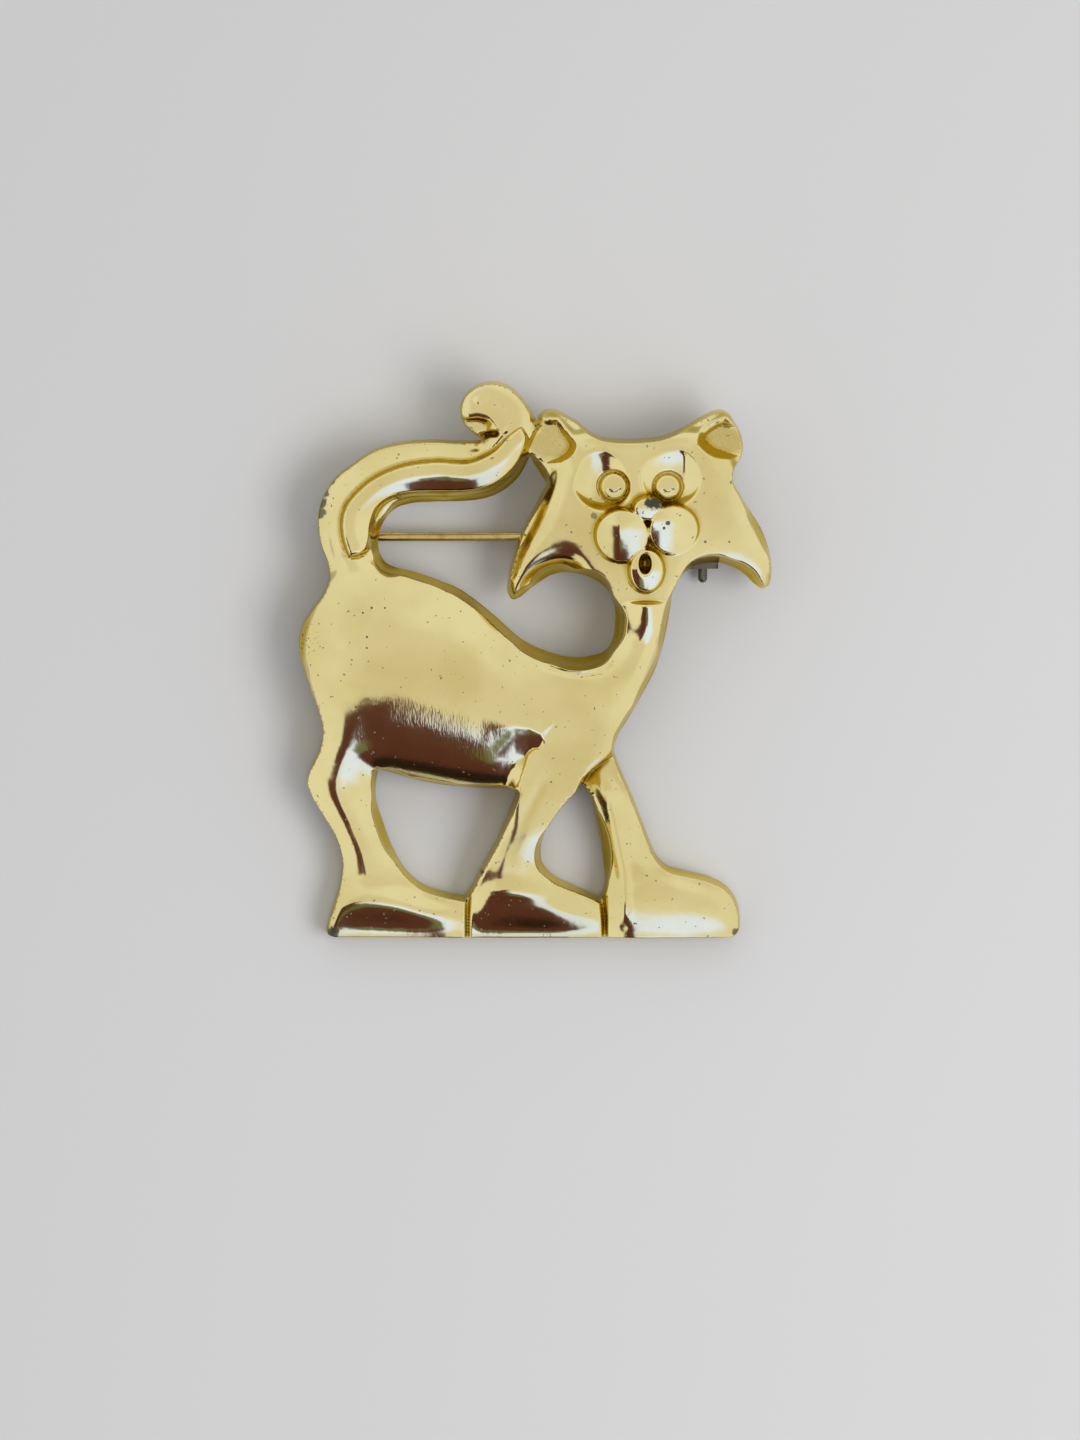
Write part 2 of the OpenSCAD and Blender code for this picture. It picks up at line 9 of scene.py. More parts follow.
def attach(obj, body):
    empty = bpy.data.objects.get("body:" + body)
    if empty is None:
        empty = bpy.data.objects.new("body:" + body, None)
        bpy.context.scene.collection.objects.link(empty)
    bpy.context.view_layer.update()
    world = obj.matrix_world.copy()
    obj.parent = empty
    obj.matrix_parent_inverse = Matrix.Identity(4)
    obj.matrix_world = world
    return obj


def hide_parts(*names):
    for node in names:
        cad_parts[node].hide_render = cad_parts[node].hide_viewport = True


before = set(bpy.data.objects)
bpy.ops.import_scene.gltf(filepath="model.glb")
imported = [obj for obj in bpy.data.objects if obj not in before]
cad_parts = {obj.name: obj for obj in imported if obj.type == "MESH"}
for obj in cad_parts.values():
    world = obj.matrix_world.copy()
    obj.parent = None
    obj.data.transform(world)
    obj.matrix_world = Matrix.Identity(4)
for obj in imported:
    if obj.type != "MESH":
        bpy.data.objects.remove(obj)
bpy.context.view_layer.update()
print("frame loaded")

# The brooch as it is cast, in millimetres in its own plane: x from the haunch, y up from the soles, and z up
# from the back rim. It lies on its soles, its hinge and its catch, so it leans
brooch = {
    "width": 47.3, "height": 55.7, "depth": 7.0, "pinDrop": 1.9, "pinLevel": 0.718, "barrelRadius": 1.7,
    "limbEdge": 2.6, "wallWidth": 0.7, "mm": 0.001,
}
pinY = brooch["pinLevel"] * brooch["height"]
pinDrop = brooch["pinDrop"]
lean = math.atan2(pinDrop, pinY) + math.asin(brooch["barrelRadius"] / math.hypot(pinY, pinDrop))
leanCos, leanSin = math.cos(lean), math.sin(lean)
halfTall = brooch["height"] * leanCos / 2

# The camera looks straight down on the middle of the picture, and a picture millimetre is true at midHeight.
# Zero is where the picture's millimetres start, in tenths of one from its upper left corner
sight = {
    "distance": 500.0, "midHeight": 2.5, "centre": (24.1, 21.65), "pictureHeight": 144.0,
    "zero": (299, 936.5), "perMm": 10, "clip": (0.01, 20),
}


def leanBack(ways):
    x, y, z = np.moveaxis(np.asarray(ways, float), -1, 0)
    return np.stack([x, y * leanCos - z * leanSin, y * leanSin + z * leanCos], axis=-1)


def toTable(points):
    # from the brooch's plane, in millimetres, to the table's frame, in metres
    return (leanBack(points) - (brooch["width"] / 2, halfTall, 0)) * brooch["mm"]


def fromPicture(points, z=0.0):
    # where a point of height z lies in the brooch's plane, if the picture shows it at these millimetres
    points = np.asarray([(*p, 0)[:3] for p in points], float)
    seen, corner = points[:, :2], points[:, 2:]
    middle = np.array(sight["centre"]) - (brooch["width"] / 2, halfTall)
    offset = seen - np.array(sight["centre"])
    y = seen[:, 1].copy()
    for _ in range(4):
        level = y * leanSin + z * leanCos
        scale = (sight["distance"] - level) / (sight["distance"] - sight["midHeight"])
        spot = middle + offset * scale[:, None]
        y = (spot[:, 1] + halfTall + z * leanSin) / leanCos
    return np.column_stack([spot[:, 0] + brooch["width"] / 2, y, corner])


def spotOf(share):
    return share[0] * brooch["width"], share[1] * brooch["height"]


# Outlines as seen from above, in millimetres. A third number marks a corner
outerEdge = [
    (3.1, 36.1, 1), (2.8, 37.6), (2.2, 39.2), (1.9, 41.0), (2.0, 42.8), (2.7, 44.6), (3.8, 46.1),
    (5.2, 47.2), (7.7, 48.8), (10.4, 49.5), (13.3, 49.7), (16.0, 49.6), (18.4, 49.7, 1), (17.2, 50.5),
    (16.4, 51.4), (16.1, 52.7), (16.4, 53.9), (17.5, 55.0), (19.3, 55.55), (21.0, 55.1), (22.4, 53.8),
    (23.3, 52.5), (23.8, 51.6, 1), (24.1, 52.3), (24.6, 52.7), (25.5, 52.75), (26.7, 52.2), (27.9, 51.5),
    (29.0, 50.6), (30.1, 50.05), (31.8, 49.8), (34.1, 49.8), (36.4, 50.1), (38.3, 50.9), (40.2, 52.0),
    (41.5, 52.6), (42.3, 52.7), (42.9, 52.4), (43.6, 51.4), (44.2, 50.2), (44.4, 49.0), (44.1, 47.7),
    (43.5, 46.8), (43.4, 45.7), (44.1, 44.2), (45.1, 42.6), (46.1, 41.0), (46.8, 39.3), (47.2, 37.6),
    (47.25, 36.2), (47.0, 35.2), (46.4, 34.8), (45.5, 35.3), (44.7, 36.1), (43.5, 36.9), (42.4, 37.3),
    (40.9, 37.4), (39.4, 37.0), (38.1, 35.9), (37.4, 34.5), (37.1, 32.7), (36.4, 29.2), (35.6, 26.7),
    (34.3, 24.2), (32.8, 21.6), (31.8, 19.9), (31.5, 18.9), (31.7, 17.9), (32.3, 16.4), (33.1, 14.6),
    (34.3, 11.6), (35.1, 9.5), (35.7, 8.2), (36.7, 7.2), (38.7, 6.6), (41.0, 6.0), (42.8, 5.0),
    (43.7, 3.7), (44.05, 2.1), (43.9, 0.6), (43.3, 0.05, 1), (16.7, 0.0), (3.6, 0.05, 1), (2.8, 0.45),
    (2.9, 1.5), (3.6, 3.7), (4.15, 5.8), (4.3, 7.8), (3.75, 10.0), (2.5, 12.2), (1.3, 14.2), (0.8, 15.6),
    (1.0, 16.7), (1.7, 18.1), (2.2, 19.4), (2.4, 21.1), (2.0, 22.8), (1.2, 24.9), (0.4, 27.3), (0.0, 29.3),
    (0.4, 31.4), (1.5, 33.1), (2.6, 34.7),
]
backGap = [
    (23.1, 48.05, 1), (22.0, 46.05), (20.7, 44.8), (19.4, 44.1), (17.9, 43.7), (16.3, 43.55), (13.6, 43.5),
    (11.1, 43.3), (9.8, 42.9), (8.8, 42.0), (8.15, 40.8), (7.9, 39.5), (8.1, 38.3), (8.7, 37.4), (9.8, 36.9),
    (11.1, 36.6), (12.4, 36.2), (14.6, 35.4), (16.0, 34.8), (17.2, 34.0), (18.5, 33.0), (19.8, 31.9),
    (22.5, 29.6), (24.9, 28.5), (26.9, 28.0), (29.1, 28.1), (30.4, 28.5), (31.1, 29.2), (31.45, 30.2),
    (31.6, 31.4), (31.6, 32.7), (31.35, 33.7), (30.7, 34.8), (29.8, 35.55), (28.6, 36.1), (27.4, 36.35),
    (26.2, 36.4), (25.2, 36.15), (24.1, 35.5), (22.9, 34.6), (22.0, 33.9), (21.4, 33.7), (20.9, 34.3),
    (20.9, 35.7), (21.6, 38.6), (22.4, 40.8), (23.6, 43.1), (24.8, 45.3, 1), (23.8, 46.8),
]
bellyGap = [
    (7.9, 16.7, 1), (7.7, 15.5), (7.7, 13.9), (8.4, 11.5), (9.4, 8.9), (10.8, 6.6), (12.5, 5.2), (14.6, 4.5),
    (16.5, 4.1, 1), (17.0, 4.7), (18.0, 6.6), (19.8, 9.9), (21.1, 12.9), (21.8, 14.8, 1), (18.9, 14.85),
    (16.3, 15.0), (13.7, 15.3), (11.3, 15.8), (9.3, 16.4),
]
forelegGap = [
    (28.2, 15.4, 1), (29.0, 14.4), (29.7, 11.7), (30.4, 7.9), (30.4, 4.8), (30.0, 4.0, 1), (27.6, 5.1),
    (25.3, 6.3), (24.3, 7.5), (24.2, 9.0), (24.8, 10.9), (26.0, 12.9),
]

# A ladder of sections runs along each limb. Each rung has its left x, left y, right x, right y, edge height,
# crown height and the crown's place on it, all in thousandths: x and y of the brooch's width and height, the
# heights of its depth, and the place of the rung
limbs = {
    "tail": {"flat": 2.2, "round": 1.0, "rungs": [
        [74, 599, 180, 606, 380, 540, 400], [63, 651, 195, 665, 380, 560, 400],
        [49, 701, 167, 701, 380, 580, 400], [41, 750, 173, 732, 380, 580, 400],
        [57, 802, 188, 759, 380, 580, 400], [106, 849, 216, 776, 380, 580, 400],
        [171, 880, 249, 781, 380, 580, 400], [256, 893, 298, 782, 380, 580, 400],
        [345, 894, 357, 784, 380, 580, 400], [395, 901, 419, 797, 380, 600, 420],
        [408, 915, 465, 822, 380, 620, 450],
    ]},
    "curl": {"flat": 2.2, "round": 0.8, "leanIn": 0.0, "rungs": [
        [390, 901, 419, 797, 420, 580, 500], [399, 906, 465, 822, 460, 620, 500],
        [402, 911, 495, 874, 500, 660, 500], [402, 916, 502, 915, 550, 660, 500],
        [400, 920, 486, 958, 570, 650, 500], [396, 923, 450, 988, 570, 640, 500],
        [391, 924, 402, 1000, 570, 630, 500], [386, 923, 362, 986, 550, 610, 500],
        [382, 920, 340, 950, 500, 580, 500], [380, 915, 347, 921, 420, 540, 500],
        [384, 907, 372, 897, 380, 460, 500],
    ]},
    "trunk": {"flat": 2.0, "round": 0.7, "leanIn": 0.3, "rungs": [
        [8, 555, 2, 507, 480, 550, 500], [27, 595, 15, 469, 500, 640, 500],
        [61, 638, 40, 413, 540, 730, 500], [112, 663, 76, 350, 580, 830, 500],
        [192, 663, 146, 311, 540, 940, 500], [258, 653, 224, 287, 480, 980, 500],
        [364, 613, 378, 267, 550, 1000, 500], [430, 567, 450, 270, 570, 980, 500],
        [485, 533, 510, 290, 720, 920, 500], [573, 503, 643, 325, 840, 870, 500],
        [645, 516, 712, 415, 720, 810, 500], [668, 539, 742, 462, 570, 770, 600],
        [677, 572, 765, 516, 520, 710, 650], [674, 600, 782, 562, 520, 690, 650],
        [664, 626, 795, 611, 520, 680, 600], [669, 657, 818, 647, 520, 670, 500],
    ]},
    "hindLeg": {"flat": 1.55, "round": 1.0, "join": 0.8, "leanIn": 0.0, "rungs": [
        [74, 66, 323, 78, 400, 500, 300], [89, 105, 264, 93, 400, 520, 330],
        [91, 141, 228, 118, 420, 540, 360], [79, 181, 199, 161, 440, 570, 400],
        [53, 221, 178, 208, 450, 590, 440], [27, 258, 165, 246, 470, 620, 440],
        [17, 285, 165, 282, 490, 650, 440], [34, 323, 182, 318, 550, 700, 400],
        [50, 357, 214, 354, 610, 760, 340], [40, 415, 235, 404, 600, 820, 420],
        [25, 470, 260, 450, 580, 840, 500],
    ]},
    "hindFoot": {"flat": 1.35, "round": 1.0, "join": 0.9, "rungs": [
        [66, 40, 58, 6, 420, 480, 500], [80, 96, 90, 0, 400, 550, 350],
        [130, 123, 130, 0, 370, 600, 360], [200, 116, 200, 0, 370, 600, 360],
        [270, 90, 270, 0, 410, 550, 350], [323, 78, 323, 0, 450, 500, 350],
        [362, 71, 362, 0, 440, 470, 400],
    ]},
    "nearLeg": {"flat": 3.0, "round": 1.0, "join": 0.3, "rungs": [
        [355, 78, 605, 82, 560, 680, 400], [381, 118, 531, 111, 670, 725, 400],
        [404, 156, 510, 150, 730, 770, 400], [429, 195, 522, 194, 780, 815, 400],
        [448, 231, 548, 235, 820, 860, 400], [458, 264, 575, 267, 860, 900, 400],
        [466, 300, 600, 300, 880, 920, 400], [474, 322, 600, 322, 880, 920, 400],
    ]},
    "nearFoot": {"flat": 1.5, "round": 1.0, "join": 0.9, "rungs": [
        [352, 78, 352, 0, 400, 460, 400], [391, 127, 391, 0, 420, 620, 350],
        [449, 146, 449, 0, 440, 720, 300], [516, 123, 516, 0, 440, 670, 350],
        [564, 100, 564, 0, 440, 590, 400], [611, 82, 611, 0, 420, 510, 400],
        [650, 69, 650, 0, 400, 450, 400],
    ]},
    "farLeg": {"flat": 2.0, "round": 0.9, "join": 0.3, "rungs": [
        [645, 84, 789, 123, 460, 600, 350], [645, 123, 763, 140, 460, 590, 350],
        [636, 170, 742, 170, 450, 560, 350], [626, 217, 721, 219, 430, 520, 350],
        [615, 255, 700, 264, 400, 470, 350], [603, 280, 670, 321, 380, 420, 400],
        [590, 309, 649, 345, 370, 390, 400],
    ]},
    "farFoot": {"flat": 2.0, "round": 1.0, "join": 0.9, "rungs": [
        [645, 120, 645, 0, 360, 540, 150], [700, 134, 700, 0, 520, 610, 350],
        [767, 134, 767, 0, 520, 600, 350], [818, 120, 818, 0, 500, 580, 350],
        [867, 109, 867, 0, 480, 540, 380], [905, 90, 905, 0, 450, 490, 420],
        [924, 68, 924, 4, 380, 420, 500], [931, 44, 931, 22, 380, 390, 500],
    ]},
    "head": {"flat": 3.0, "round": 0.85, "rungs": [
        [442, 622, 455, 609, 360, 440, 500], [440, 638, 469, 615, 400, 520, 500],
        [450, 683, 495, 638, 420, 600, 500], [469, 726, 529, 654, 440, 660, 500],
        [495, 771, 569, 658, 460, 700, 500], [520, 825, 603, 640, 480, 740, 450],
        [552, 876, 636, 590, 600, 760, 420], [615, 906, 664, 560, 660, 780, 400],
        [704, 898, 721, 550, 680, 780, 400], [789, 906, 774, 560, 680, 780, 400],
        [869, 894, 812, 625, 660, 760, 420], [918, 834, 838, 655, 680, 730, 500],
        [941, 786, 869, 665, 660, 700, 500], [966, 750, 905, 665, 620, 660, 500],
        [987, 710, 937, 652, 570, 600, 500], [999, 667, 962, 635, 500, 530, 550],
        [997, 642, 977, 626, 420, 460, 500],
    ]},
    "leftEar": {"flat": 2.4, "round": 0.8, "rungs": [
        [535, 825, 649, 892, 460, 700, 600], [501, 858, 600, 916, 460, 700, 700],
        [490, 885, 573, 935, 460, 680, 750], [499, 923, 552, 947, 440, 620, 700],
        [512, 942, 533, 950, 420, 520, 500],
    ]},
    "rightEar": {"flat": 2.4, "round": 0.8, "rungs": [
        [753, 894, 918, 825, 460, 720, 400], [814, 917, 934, 858, 460, 700, 350],
        [852, 935, 939, 885, 460, 680, 300], [879, 946, 924, 921, 440, 620, 300],
        [894, 950, 909, 941, 420, 520, 500],
    ]},
}

# The relief is worked out on a fine grid over the brooch's plane. A form is outside where it isn't there
grid = {
    "cell": 0.09, "margin": 1.2, "reach": 2.6, "blur": 0.4, "join": 0.45, "soften": 0.07, "outside": -9.0,
    "rimSpacing": 0.16, "lineSpacing": 0.08, "lineFade": 0.15, "finePoints": 24,
}
cell, outside = grid["cell"], grid["outside"]
gridX, gridY = np.meshgrid(
    np.arange(-grid["margin"], brooch["width"] + grid["margin"], cell),
    np.arange(-grid["margin"], brooch["height"] + grid["margin"], cell),
)


def softMax(a, b, join):
    h = np.clip(1 - np.abs(a - b) / join, 0, 1)
    return np.maximum(a, b) + h * h * join / 4


def softMin(a, b, join):
    return -softMax(-a, -b, join)


def step(a, b, x):
    t = np.clip((x - a) / (b - a), 0, 1)
    return t * t * (3 - 2 * t)


def bell(far, width):
    return np.exp(-((far / width) ** 2))


def rolled(share):
    # a quarter round, from 0 at an edge to 1 where it is level
    return np.sqrt(1 - (1 - np.clip(share, 0, 1)) ** 2)


def ovalRound(place, radii=(1, 1)):
    # distance from a place counted in radii, which is 1 on an oval round it
    return np.hypot((gridX - place[0]) / radii[0], (gridY - place[1]) / radii[1])


def blur(field, sigma):
    reach = int(3 * sigma / cell) + 1
    weights = np.exp(-0.5 * (np.arange(-reach, reach + 1) * cell / sigma) ** 2)
    weights /= weights.sum()
    for _ in range(2):
        padded = np.pad(field, ((reach, reach), (0, 0)), mode="edge")
        field = sum(w * padded[k:k + field.shape[0]] for k, w in enumerate(weights)).T
    return field


def curveThrough(points, closed, spacing):
    # a smooth line through given points, broken at the corners, with even spacing
    points = [(*p, 0)[:3] for p in points]
    if closed:
        points = points + [points[0]]
    corners = [i for i, p in enumerate(points) if p[2] or i in (0, len(points) - 1)]
    line = []
    for first, last in zip(corners[:-1], corners[1:]):
        run = np.array([p[:2] for p in points[first:last + 1]], float)
        gaps = np.linalg.norm(np.diff(run, axis=0), axis=1)
        slopes = np.diff(run, axis=0) / gaps[:, None]
        tangents = np.vstack([slopes[:1], slopes, slopes[-1:]])
        spans = np.concatenate([gaps[:1], gaps, gaps[-1:]])
        share = spans[:-1] / (spans[:-1] + spans[1:])
        tangents = tangents[:-1] * (1 - share)[:, None] + tangents[1:] * share[:, None]
        t = np.linspace(0, 1, grid["finePoints"], endpoint=False)[:, None]
        fine = [
            (2 * t**3 - 3 * t**2 + 1) * run[i] + (t**3 - 2 * t**2 + t) * gaps[i] * tangents[i]
            + (3 * t**2 - 2 * t**3) * run[i + 1] + (t**3 - t**2) * gaps[i] * tangents[i + 1]
            for i in range(len(run) - 1)
        ]
        fine = np.vstack(fine + [run[-1:]])
        along = np.concatenate([[0], np.cumsum(np.linalg.norm(np.diff(fine, axis=0), axis=1))])
        count = max(2, round(along[-1] / spacing))
        even = np.linspace(0, along[-1], count + 1)
        even = np.stack([np.interp(even, along, fine[:, k]) for k in (0, 1)], axis=1)
        line.append(even[:-1] if closed or last != corners[-1] else even)
    return np.vstack(line)


def pictureLine(points, height=0.0, closed=True, spacing=0.1):
    return curveThrough(fromPicture(points, height), closed, spacing)


def windowRound(x, y, reach):
    # the part of the grid within reach of a place
    i0, i1 = (int((v - reach + grid["margin"]) / cell) for v in (x[0], y[0]))
    j0, j1 = (int((v + reach + grid["margin"]) / cell) + 2 for v in (x[1], y[1]))
    return slice(max(i1, 0), max(j1, 0)), slice(max(i0, 0), max(j0, 0))


def distanceTo(lines, reach, closed=True):
    # distance from each cell to the nearest of some lines, no more than reach
    near = np.full(gridX.shape, float(reach))
    for line in lines:
        ends = np.roll(line, -1, axis=0) if closed else line[1:]
        for a, b in zip(line[:len(ends)], ends):
            box = windowRound(sorted((a[0], b[0])), sorted((a[1], b[1])), reach)
            px, py = gridX[box] - a[0], gridY[box] - a[1]
            dx, dy = b - a
            t = np.clip((px * dx + py * dy) / (dx * dx + dy * dy + 1e-12), 0, 1)
            near[box] = np.minimum(near[box], np.hypot(px - t * dx, py - t * dy))
    return near


def insideOf(lines):
    # the cells that lie inside, counted by crossings along each row
    inside = np.zeros(gridX.shape, bool)
    for line in lines:
        ends = np.roll(line, -1, axis=0)
        for a, b in zip(line, ends):
            low, high = (a, b) if a[1] < b[1] else (b, a)
            rows = np.nonzero((gridY[:, 0] >= low[1]) & (gridY[:, 0] < high[1]))[0]
            if len(rows):
                cross = low[0] + (gridY[rows, 0] - low[1]) * (high[0] - low[0]) / (high[1] - low[1])
                inside[rows] ^= gridX[rows] > cross[:, None]
    return inside


def signedDistance(lines, reach):
    near = distanceTo(lines, reach)
    return np.where(insideOf(lines), near, -near)


ladder = {"steps": 8, "spare": 0.5, "mostLean": 0.3}


def layLimb(limb):
    # one limb's relief over the grid, from its ladder
    rungs = np.array(limb["rungs"]) / 1000
    last = len(rungs) - 1
    rows = []
    for i in range(last):
        a, b, c, d = rungs[max(i - 1, 0)], rungs[i], rungs[i + 1], rungs[min(i + 2, last)]
        for t in np.arange(ladder["steps"]) / ladder["steps"]:
            rows.append(0.5 * (2 * b + (c - a) * t + (2 * a - 5 * b + 4 * c - d) * t**2
                               + (3 * b - a - 3 * c + d) * t**3))
    rows = np.array(rows + [rungs[-1]])
    scale = spotOf((1, 1))
    left, right = rows[:, 0:2] * scale, rows[:, 2:4] * scale
    span = np.linalg.norm(right - left, axis=1)
    across = (right - left) / span[:, None]
    spare = ladder["spare"]
    left, right = left - across * spare, right + across * spare
    facts = np.column_stack([span, rows[:, 4:7]])
    painted = np.full(gridX.shape + (5,), np.nan)
    for i in range(len(rows) - 1):
        corners = [
            (left[i], [-spare, *facts[i]]), (right[i], [span[i] + spare, *facts[i]]),
            (right[i + 1], [span[i + 1] + spare, *facts[i + 1]]), (left[i + 1], [-spare, *facts[i + 1]]),
        ]
        for trio in ((0, 1, 2), (0, 2, 3)):
            (a, fa), (b, fb), (c, fc) = (corners[k] for k in trio)
            area = (b[0] - a[0]) * (c[1] - a[1]) - (b[1] - a[1]) * (c[0] - a[0])
            if abs(area) < 1e-9:
                continue
            xs, ys = sorted((a[0], b[0], c[0])), sorted((a[1], b[1], c[1]))
            box = windowRound((xs[0], xs[2]), (ys[0], ys[2]), cell)
            px, py = gridX[box], gridY[box]
            wb = ((px - a[0]) * (c[1] - a[1]) - (py - a[1]) * (c[0] - a[0])) / area
            wc = ((b[0] - a[0]) * (py - a[1]) - (b[1] - a[1]) * (px - a[0])) / area
            hit = (wb >= -1e-6) & (wc >= -1e-6) & (wb + wc <= 1 + 1e-6)
            wb, wc = wb[hit][:, None], wc[hit][:, None]
            painted[box][hit] = (1 - wb - wc) * np.array(fa) + wb * np.array(fb) + wc * np.array(fc)
    along, span, edge, crown, place = np.moveaxis(painted, -1, 0)
    leanIn = np.minimum(limb.get("leanIn", brooch["wallWidth"]), ladder["mostLean"] * span)
    share = np.clip((along - leanIn) / np.maximum(span - 2 * leanIn, 0.05), 0, 1)
    t = np.where(share < place, (place - share) / place, (share - place) / (1 - place))
    dome = np.clip(1 - np.abs(t) ** limb["flat"], 0, 1) ** limb["round"]
    z = (edge + (crown - edge) * dome) * brooch["depth"]
    return np.where(np.isnan(z), outside, z)


def slide(far, quick, steepest):
    # how far a surface falls that turns away from level at a rate and ends with its steepest slope
    return (np.sqrt(1 + (quick * far / steepest) ** 2) - 1) * steepest**2 / quick


def placeOf(part):
    return fromPicture([part["at"]], part.get("height", face["eyeHeight"]))[0, :2]


def swell(part):
    # a swelling with an oval foot: a quick edge below a dome that falls away from its crown to the left,
    # to the right, downward and upward, each at its own rate
    place, radii = placeOf(part), part["radii"]
    inward = 1 - ovalRound(place, radii)
    dx = gridX - place[0] - part["crown"][0]
    dy = gridY - place[1] - part["crown"][1]
    left, right, down, up = (slide(way, *rate) for way, rate in zip((dx, dx, dy, dy), part["fall"]))
    dome = np.where(dx < 0, left, right) + np.where(dy < 0, down, up)
    return np.where(inward > 0, part["lift"] * rolled(inward * min(radii) / part["edge"]) - dome, outside)


def groove(line):
    # how much each place is pressed by a soft line: 1 on the line, 0 away from it and at faded ends
    spacing, width, fade = grid["lineSpacing"], line["width"], line.get("fade", grid["lineFade"])
    path = pictureLine(line["points"], line["height"], False, spacing)
    pressed = bell(distanceTo([path], 3 * width, closed=False), width)
    if not fade:
        return pressed
    length = len(path) * spacing
    start, end = (step(0, fade * length, ovalRound(place)) for place in (path[0], path[-1]))
    return pressed * (start * end)


outlines = [
    pictureLine(loop, spacing=grid["rimSpacing"]) for loop in (outerEdge, backGap, bellyGap, forelegGap)
]
edgeDistance = signedDistance(outlines, grid["reach"])
print("outlines drawn:", [len(loop) for loop in outlines])

# The far foreleg and its foot lie behind the rest, and show on their own side of a line
farSide = {
    "outline": [
        (28.2, 15.0, 1), (29.3, 16.7), (30.4, 17.5), (32.0, 18.5, 1), (46.0, 18.5, 1), (46.0, -1.0, 1),
        (30.6, -1.0, 1), (30.4, 4.1, 1), (29.0, 9.0, 1),
    ],
    "height": 3.0, "spacing": 0.15, "fade": (-0.25, 0.05),
}
relief = np.full(gridX.shape, brooch["limbEdge"])
behind = relief.copy()
for name, limb in limbs.items():
    if "far" in name:
        behind = softMax(behind, layLimb(limb), limb["join"])
    else:
        relief = softMax(relief, layLimb(limb), limb.get("join", grid["join"]))
farLine = pictureLine(farSide["outline"], farSide["height"], spacing=farSide["spacing"])
farHere = step(*farSide["fade"], signedDistance([farLine], 1.0))
relief = blur(relief, grid["blur"]) * (1 - farHere) + blur(behind, grid["blur"]) * farHere

# The shoulder stands out above a fold, where the belly turns under, and runs on into the near leg
shoulder = {
    "outline": [
        (17.5, 3.0, 1), (21.2, 11.0), (21.75, 14.6), (22.25, 16.2), (22.6, 17.4), (22.85, 18.2),
        (23.4, 18.7), (24.1, 18.85), (24.36, 19.3), (24.36, 20.3, 1), (30, 26, 1), (32.5, 21, 1),
        (31.2, 18.2, 1), (28.3, 15.6, 1), (27, 12), (26, 8), (28, 3, 1),
    ],
    "height": 6.0, "edgeFade": (-0.05, 0.15), "rise": 0.5, "middle": (26.5, 20.5), "reach": (8.5, 9.5),
    "full": 0.35,
    "fold": [
        (16.0, 15.5), (17.6, 17.5), (18.5, 20.0), (19.4, 20.8), (21.6, 21.1), (23.0, 20.9), (24.4, 20.2),
        (25, 20),
    ],
    "turn": 0.29, "turnRound": 0.04, "deepest": 0.86, "deepestRound": 0.1, "level": 6.4, "levelAt": 18,
    "slope": 0.09, "legMiddle": (25.6, 15.0), "legReach": (6.2, 8.5), "legFull": 0.45,
}


def nearTo(middle, reach, full):
    # 1 round a place on the shoulder, and 0 beyond its reach
    return step(1.0, full, ovalRound(fromPicture([middle], shoulder["height"])[0], reach))


foldLine = fromPicture(shoulder["fold"], shoulder["height"])
belowFold = np.interp(gridX, foldLine[:, 0], foldLine[:, 1]) - gridY
turnedUnder = softMax(shoulder["turn"] * belowFold, 0, shoulder["turnRound"])
turnedUnder = softMin(turnedUnder, shoulder["deepest"], shoulder["deepestRound"])
onLeg = signedDistance([pictureLine(shoulder["outline"], shoulder["height"])], 1.0)
onLeg = step(*shoulder["edgeFade"], onLeg)
nearby = nearTo(shoulder["middle"], shoulder["reach"], shoulder["full"])
lifted = relief + nearby * (shoulder["rise"] - turnedUnder * (1 - onLeg))
onLeg = onLeg * nearTo(shoulder["legMiddle"], shoulder["legReach"], shoulder["legFull"])
legLevel = shoulder["level"] + shoulder["slope"] * (gridY - shoulder["levelAt"])
relief = lifted * (1 - onLeg) + legLevel * onLeg
print("limbs laid")

# The raised band that runs up the inner side of the tail and into the curl
tailBand = {
    "outline": [
        (4.9, 37.8, 1), (4.5, 38.8), (4.1, 40.4), (4.2, 42.4), (6.5, 45.4), (9.4, 47.0), (13.7, 47.75),
        (17.2, 47.7), (19.4, 48.8), (20.8, 50.3), (22.3, 51.4, 1), (23.0, 49.9), (22.5, 47.9), (21.2, 46.1),
        (19.6, 44.9), (17.8, 44.3), (13.6, 44.1), (11.0, 44.0), (9.2, 43.6), (8.0, 42.6), (7.5, 41.3),
        (7.3, 39.7), (7.0, 38.7, 1), (6.4, 38.2),
    ],
    "topPoints": 11, "height": 4.2, "least": 2.0, "base": 3.9, "rise": 1.2, "startRise": 0.3, "startLift": 0.7,
    "edge": 0.5, "level": 1.3, "fall": (1.1, 0.5), "fallRound": 0.3, "widest": 3.6, "round": 0.06,
    "soften": 0.14, "crease": 0.18, "creaseWidth": 0.15, "creaseX": (22.0, 19.0), "creaseY": (37.5, 38.5),
    "endFade": (37.4, 41.5),
}
bandDepth = signedDistance([pictureLine(tailBand["outline"], tailBand["height"])], 2.0)
bandTop = pictureLine(tailBand["outline"][:tailBand["topPoints"]], tailBand["height"], False)
belowTop = distanceTo([bandTop], tailBand["widest"], closed=False)
startRise = tailBand["startRise"]
bandRise = tailBand["rise"] * (startRise + (1 - startRise) * step(*tailBand["endFade"], gridY))
band = tailBand["base"] + tailBand["startLift"] * (tailBand["rise"] - bandRise)
band = band + bandRise * rolled(bandDepth / tailBand["edge"])
band = band - slide(softMax(belowTop - tailBand["level"], 0, tailBand["fallRound"]), *tailBand["fall"])
band = np.where(bandDepth > 0, band, outside)
creaseHere = bell(bandDepth, tailBand["creaseWidth"])
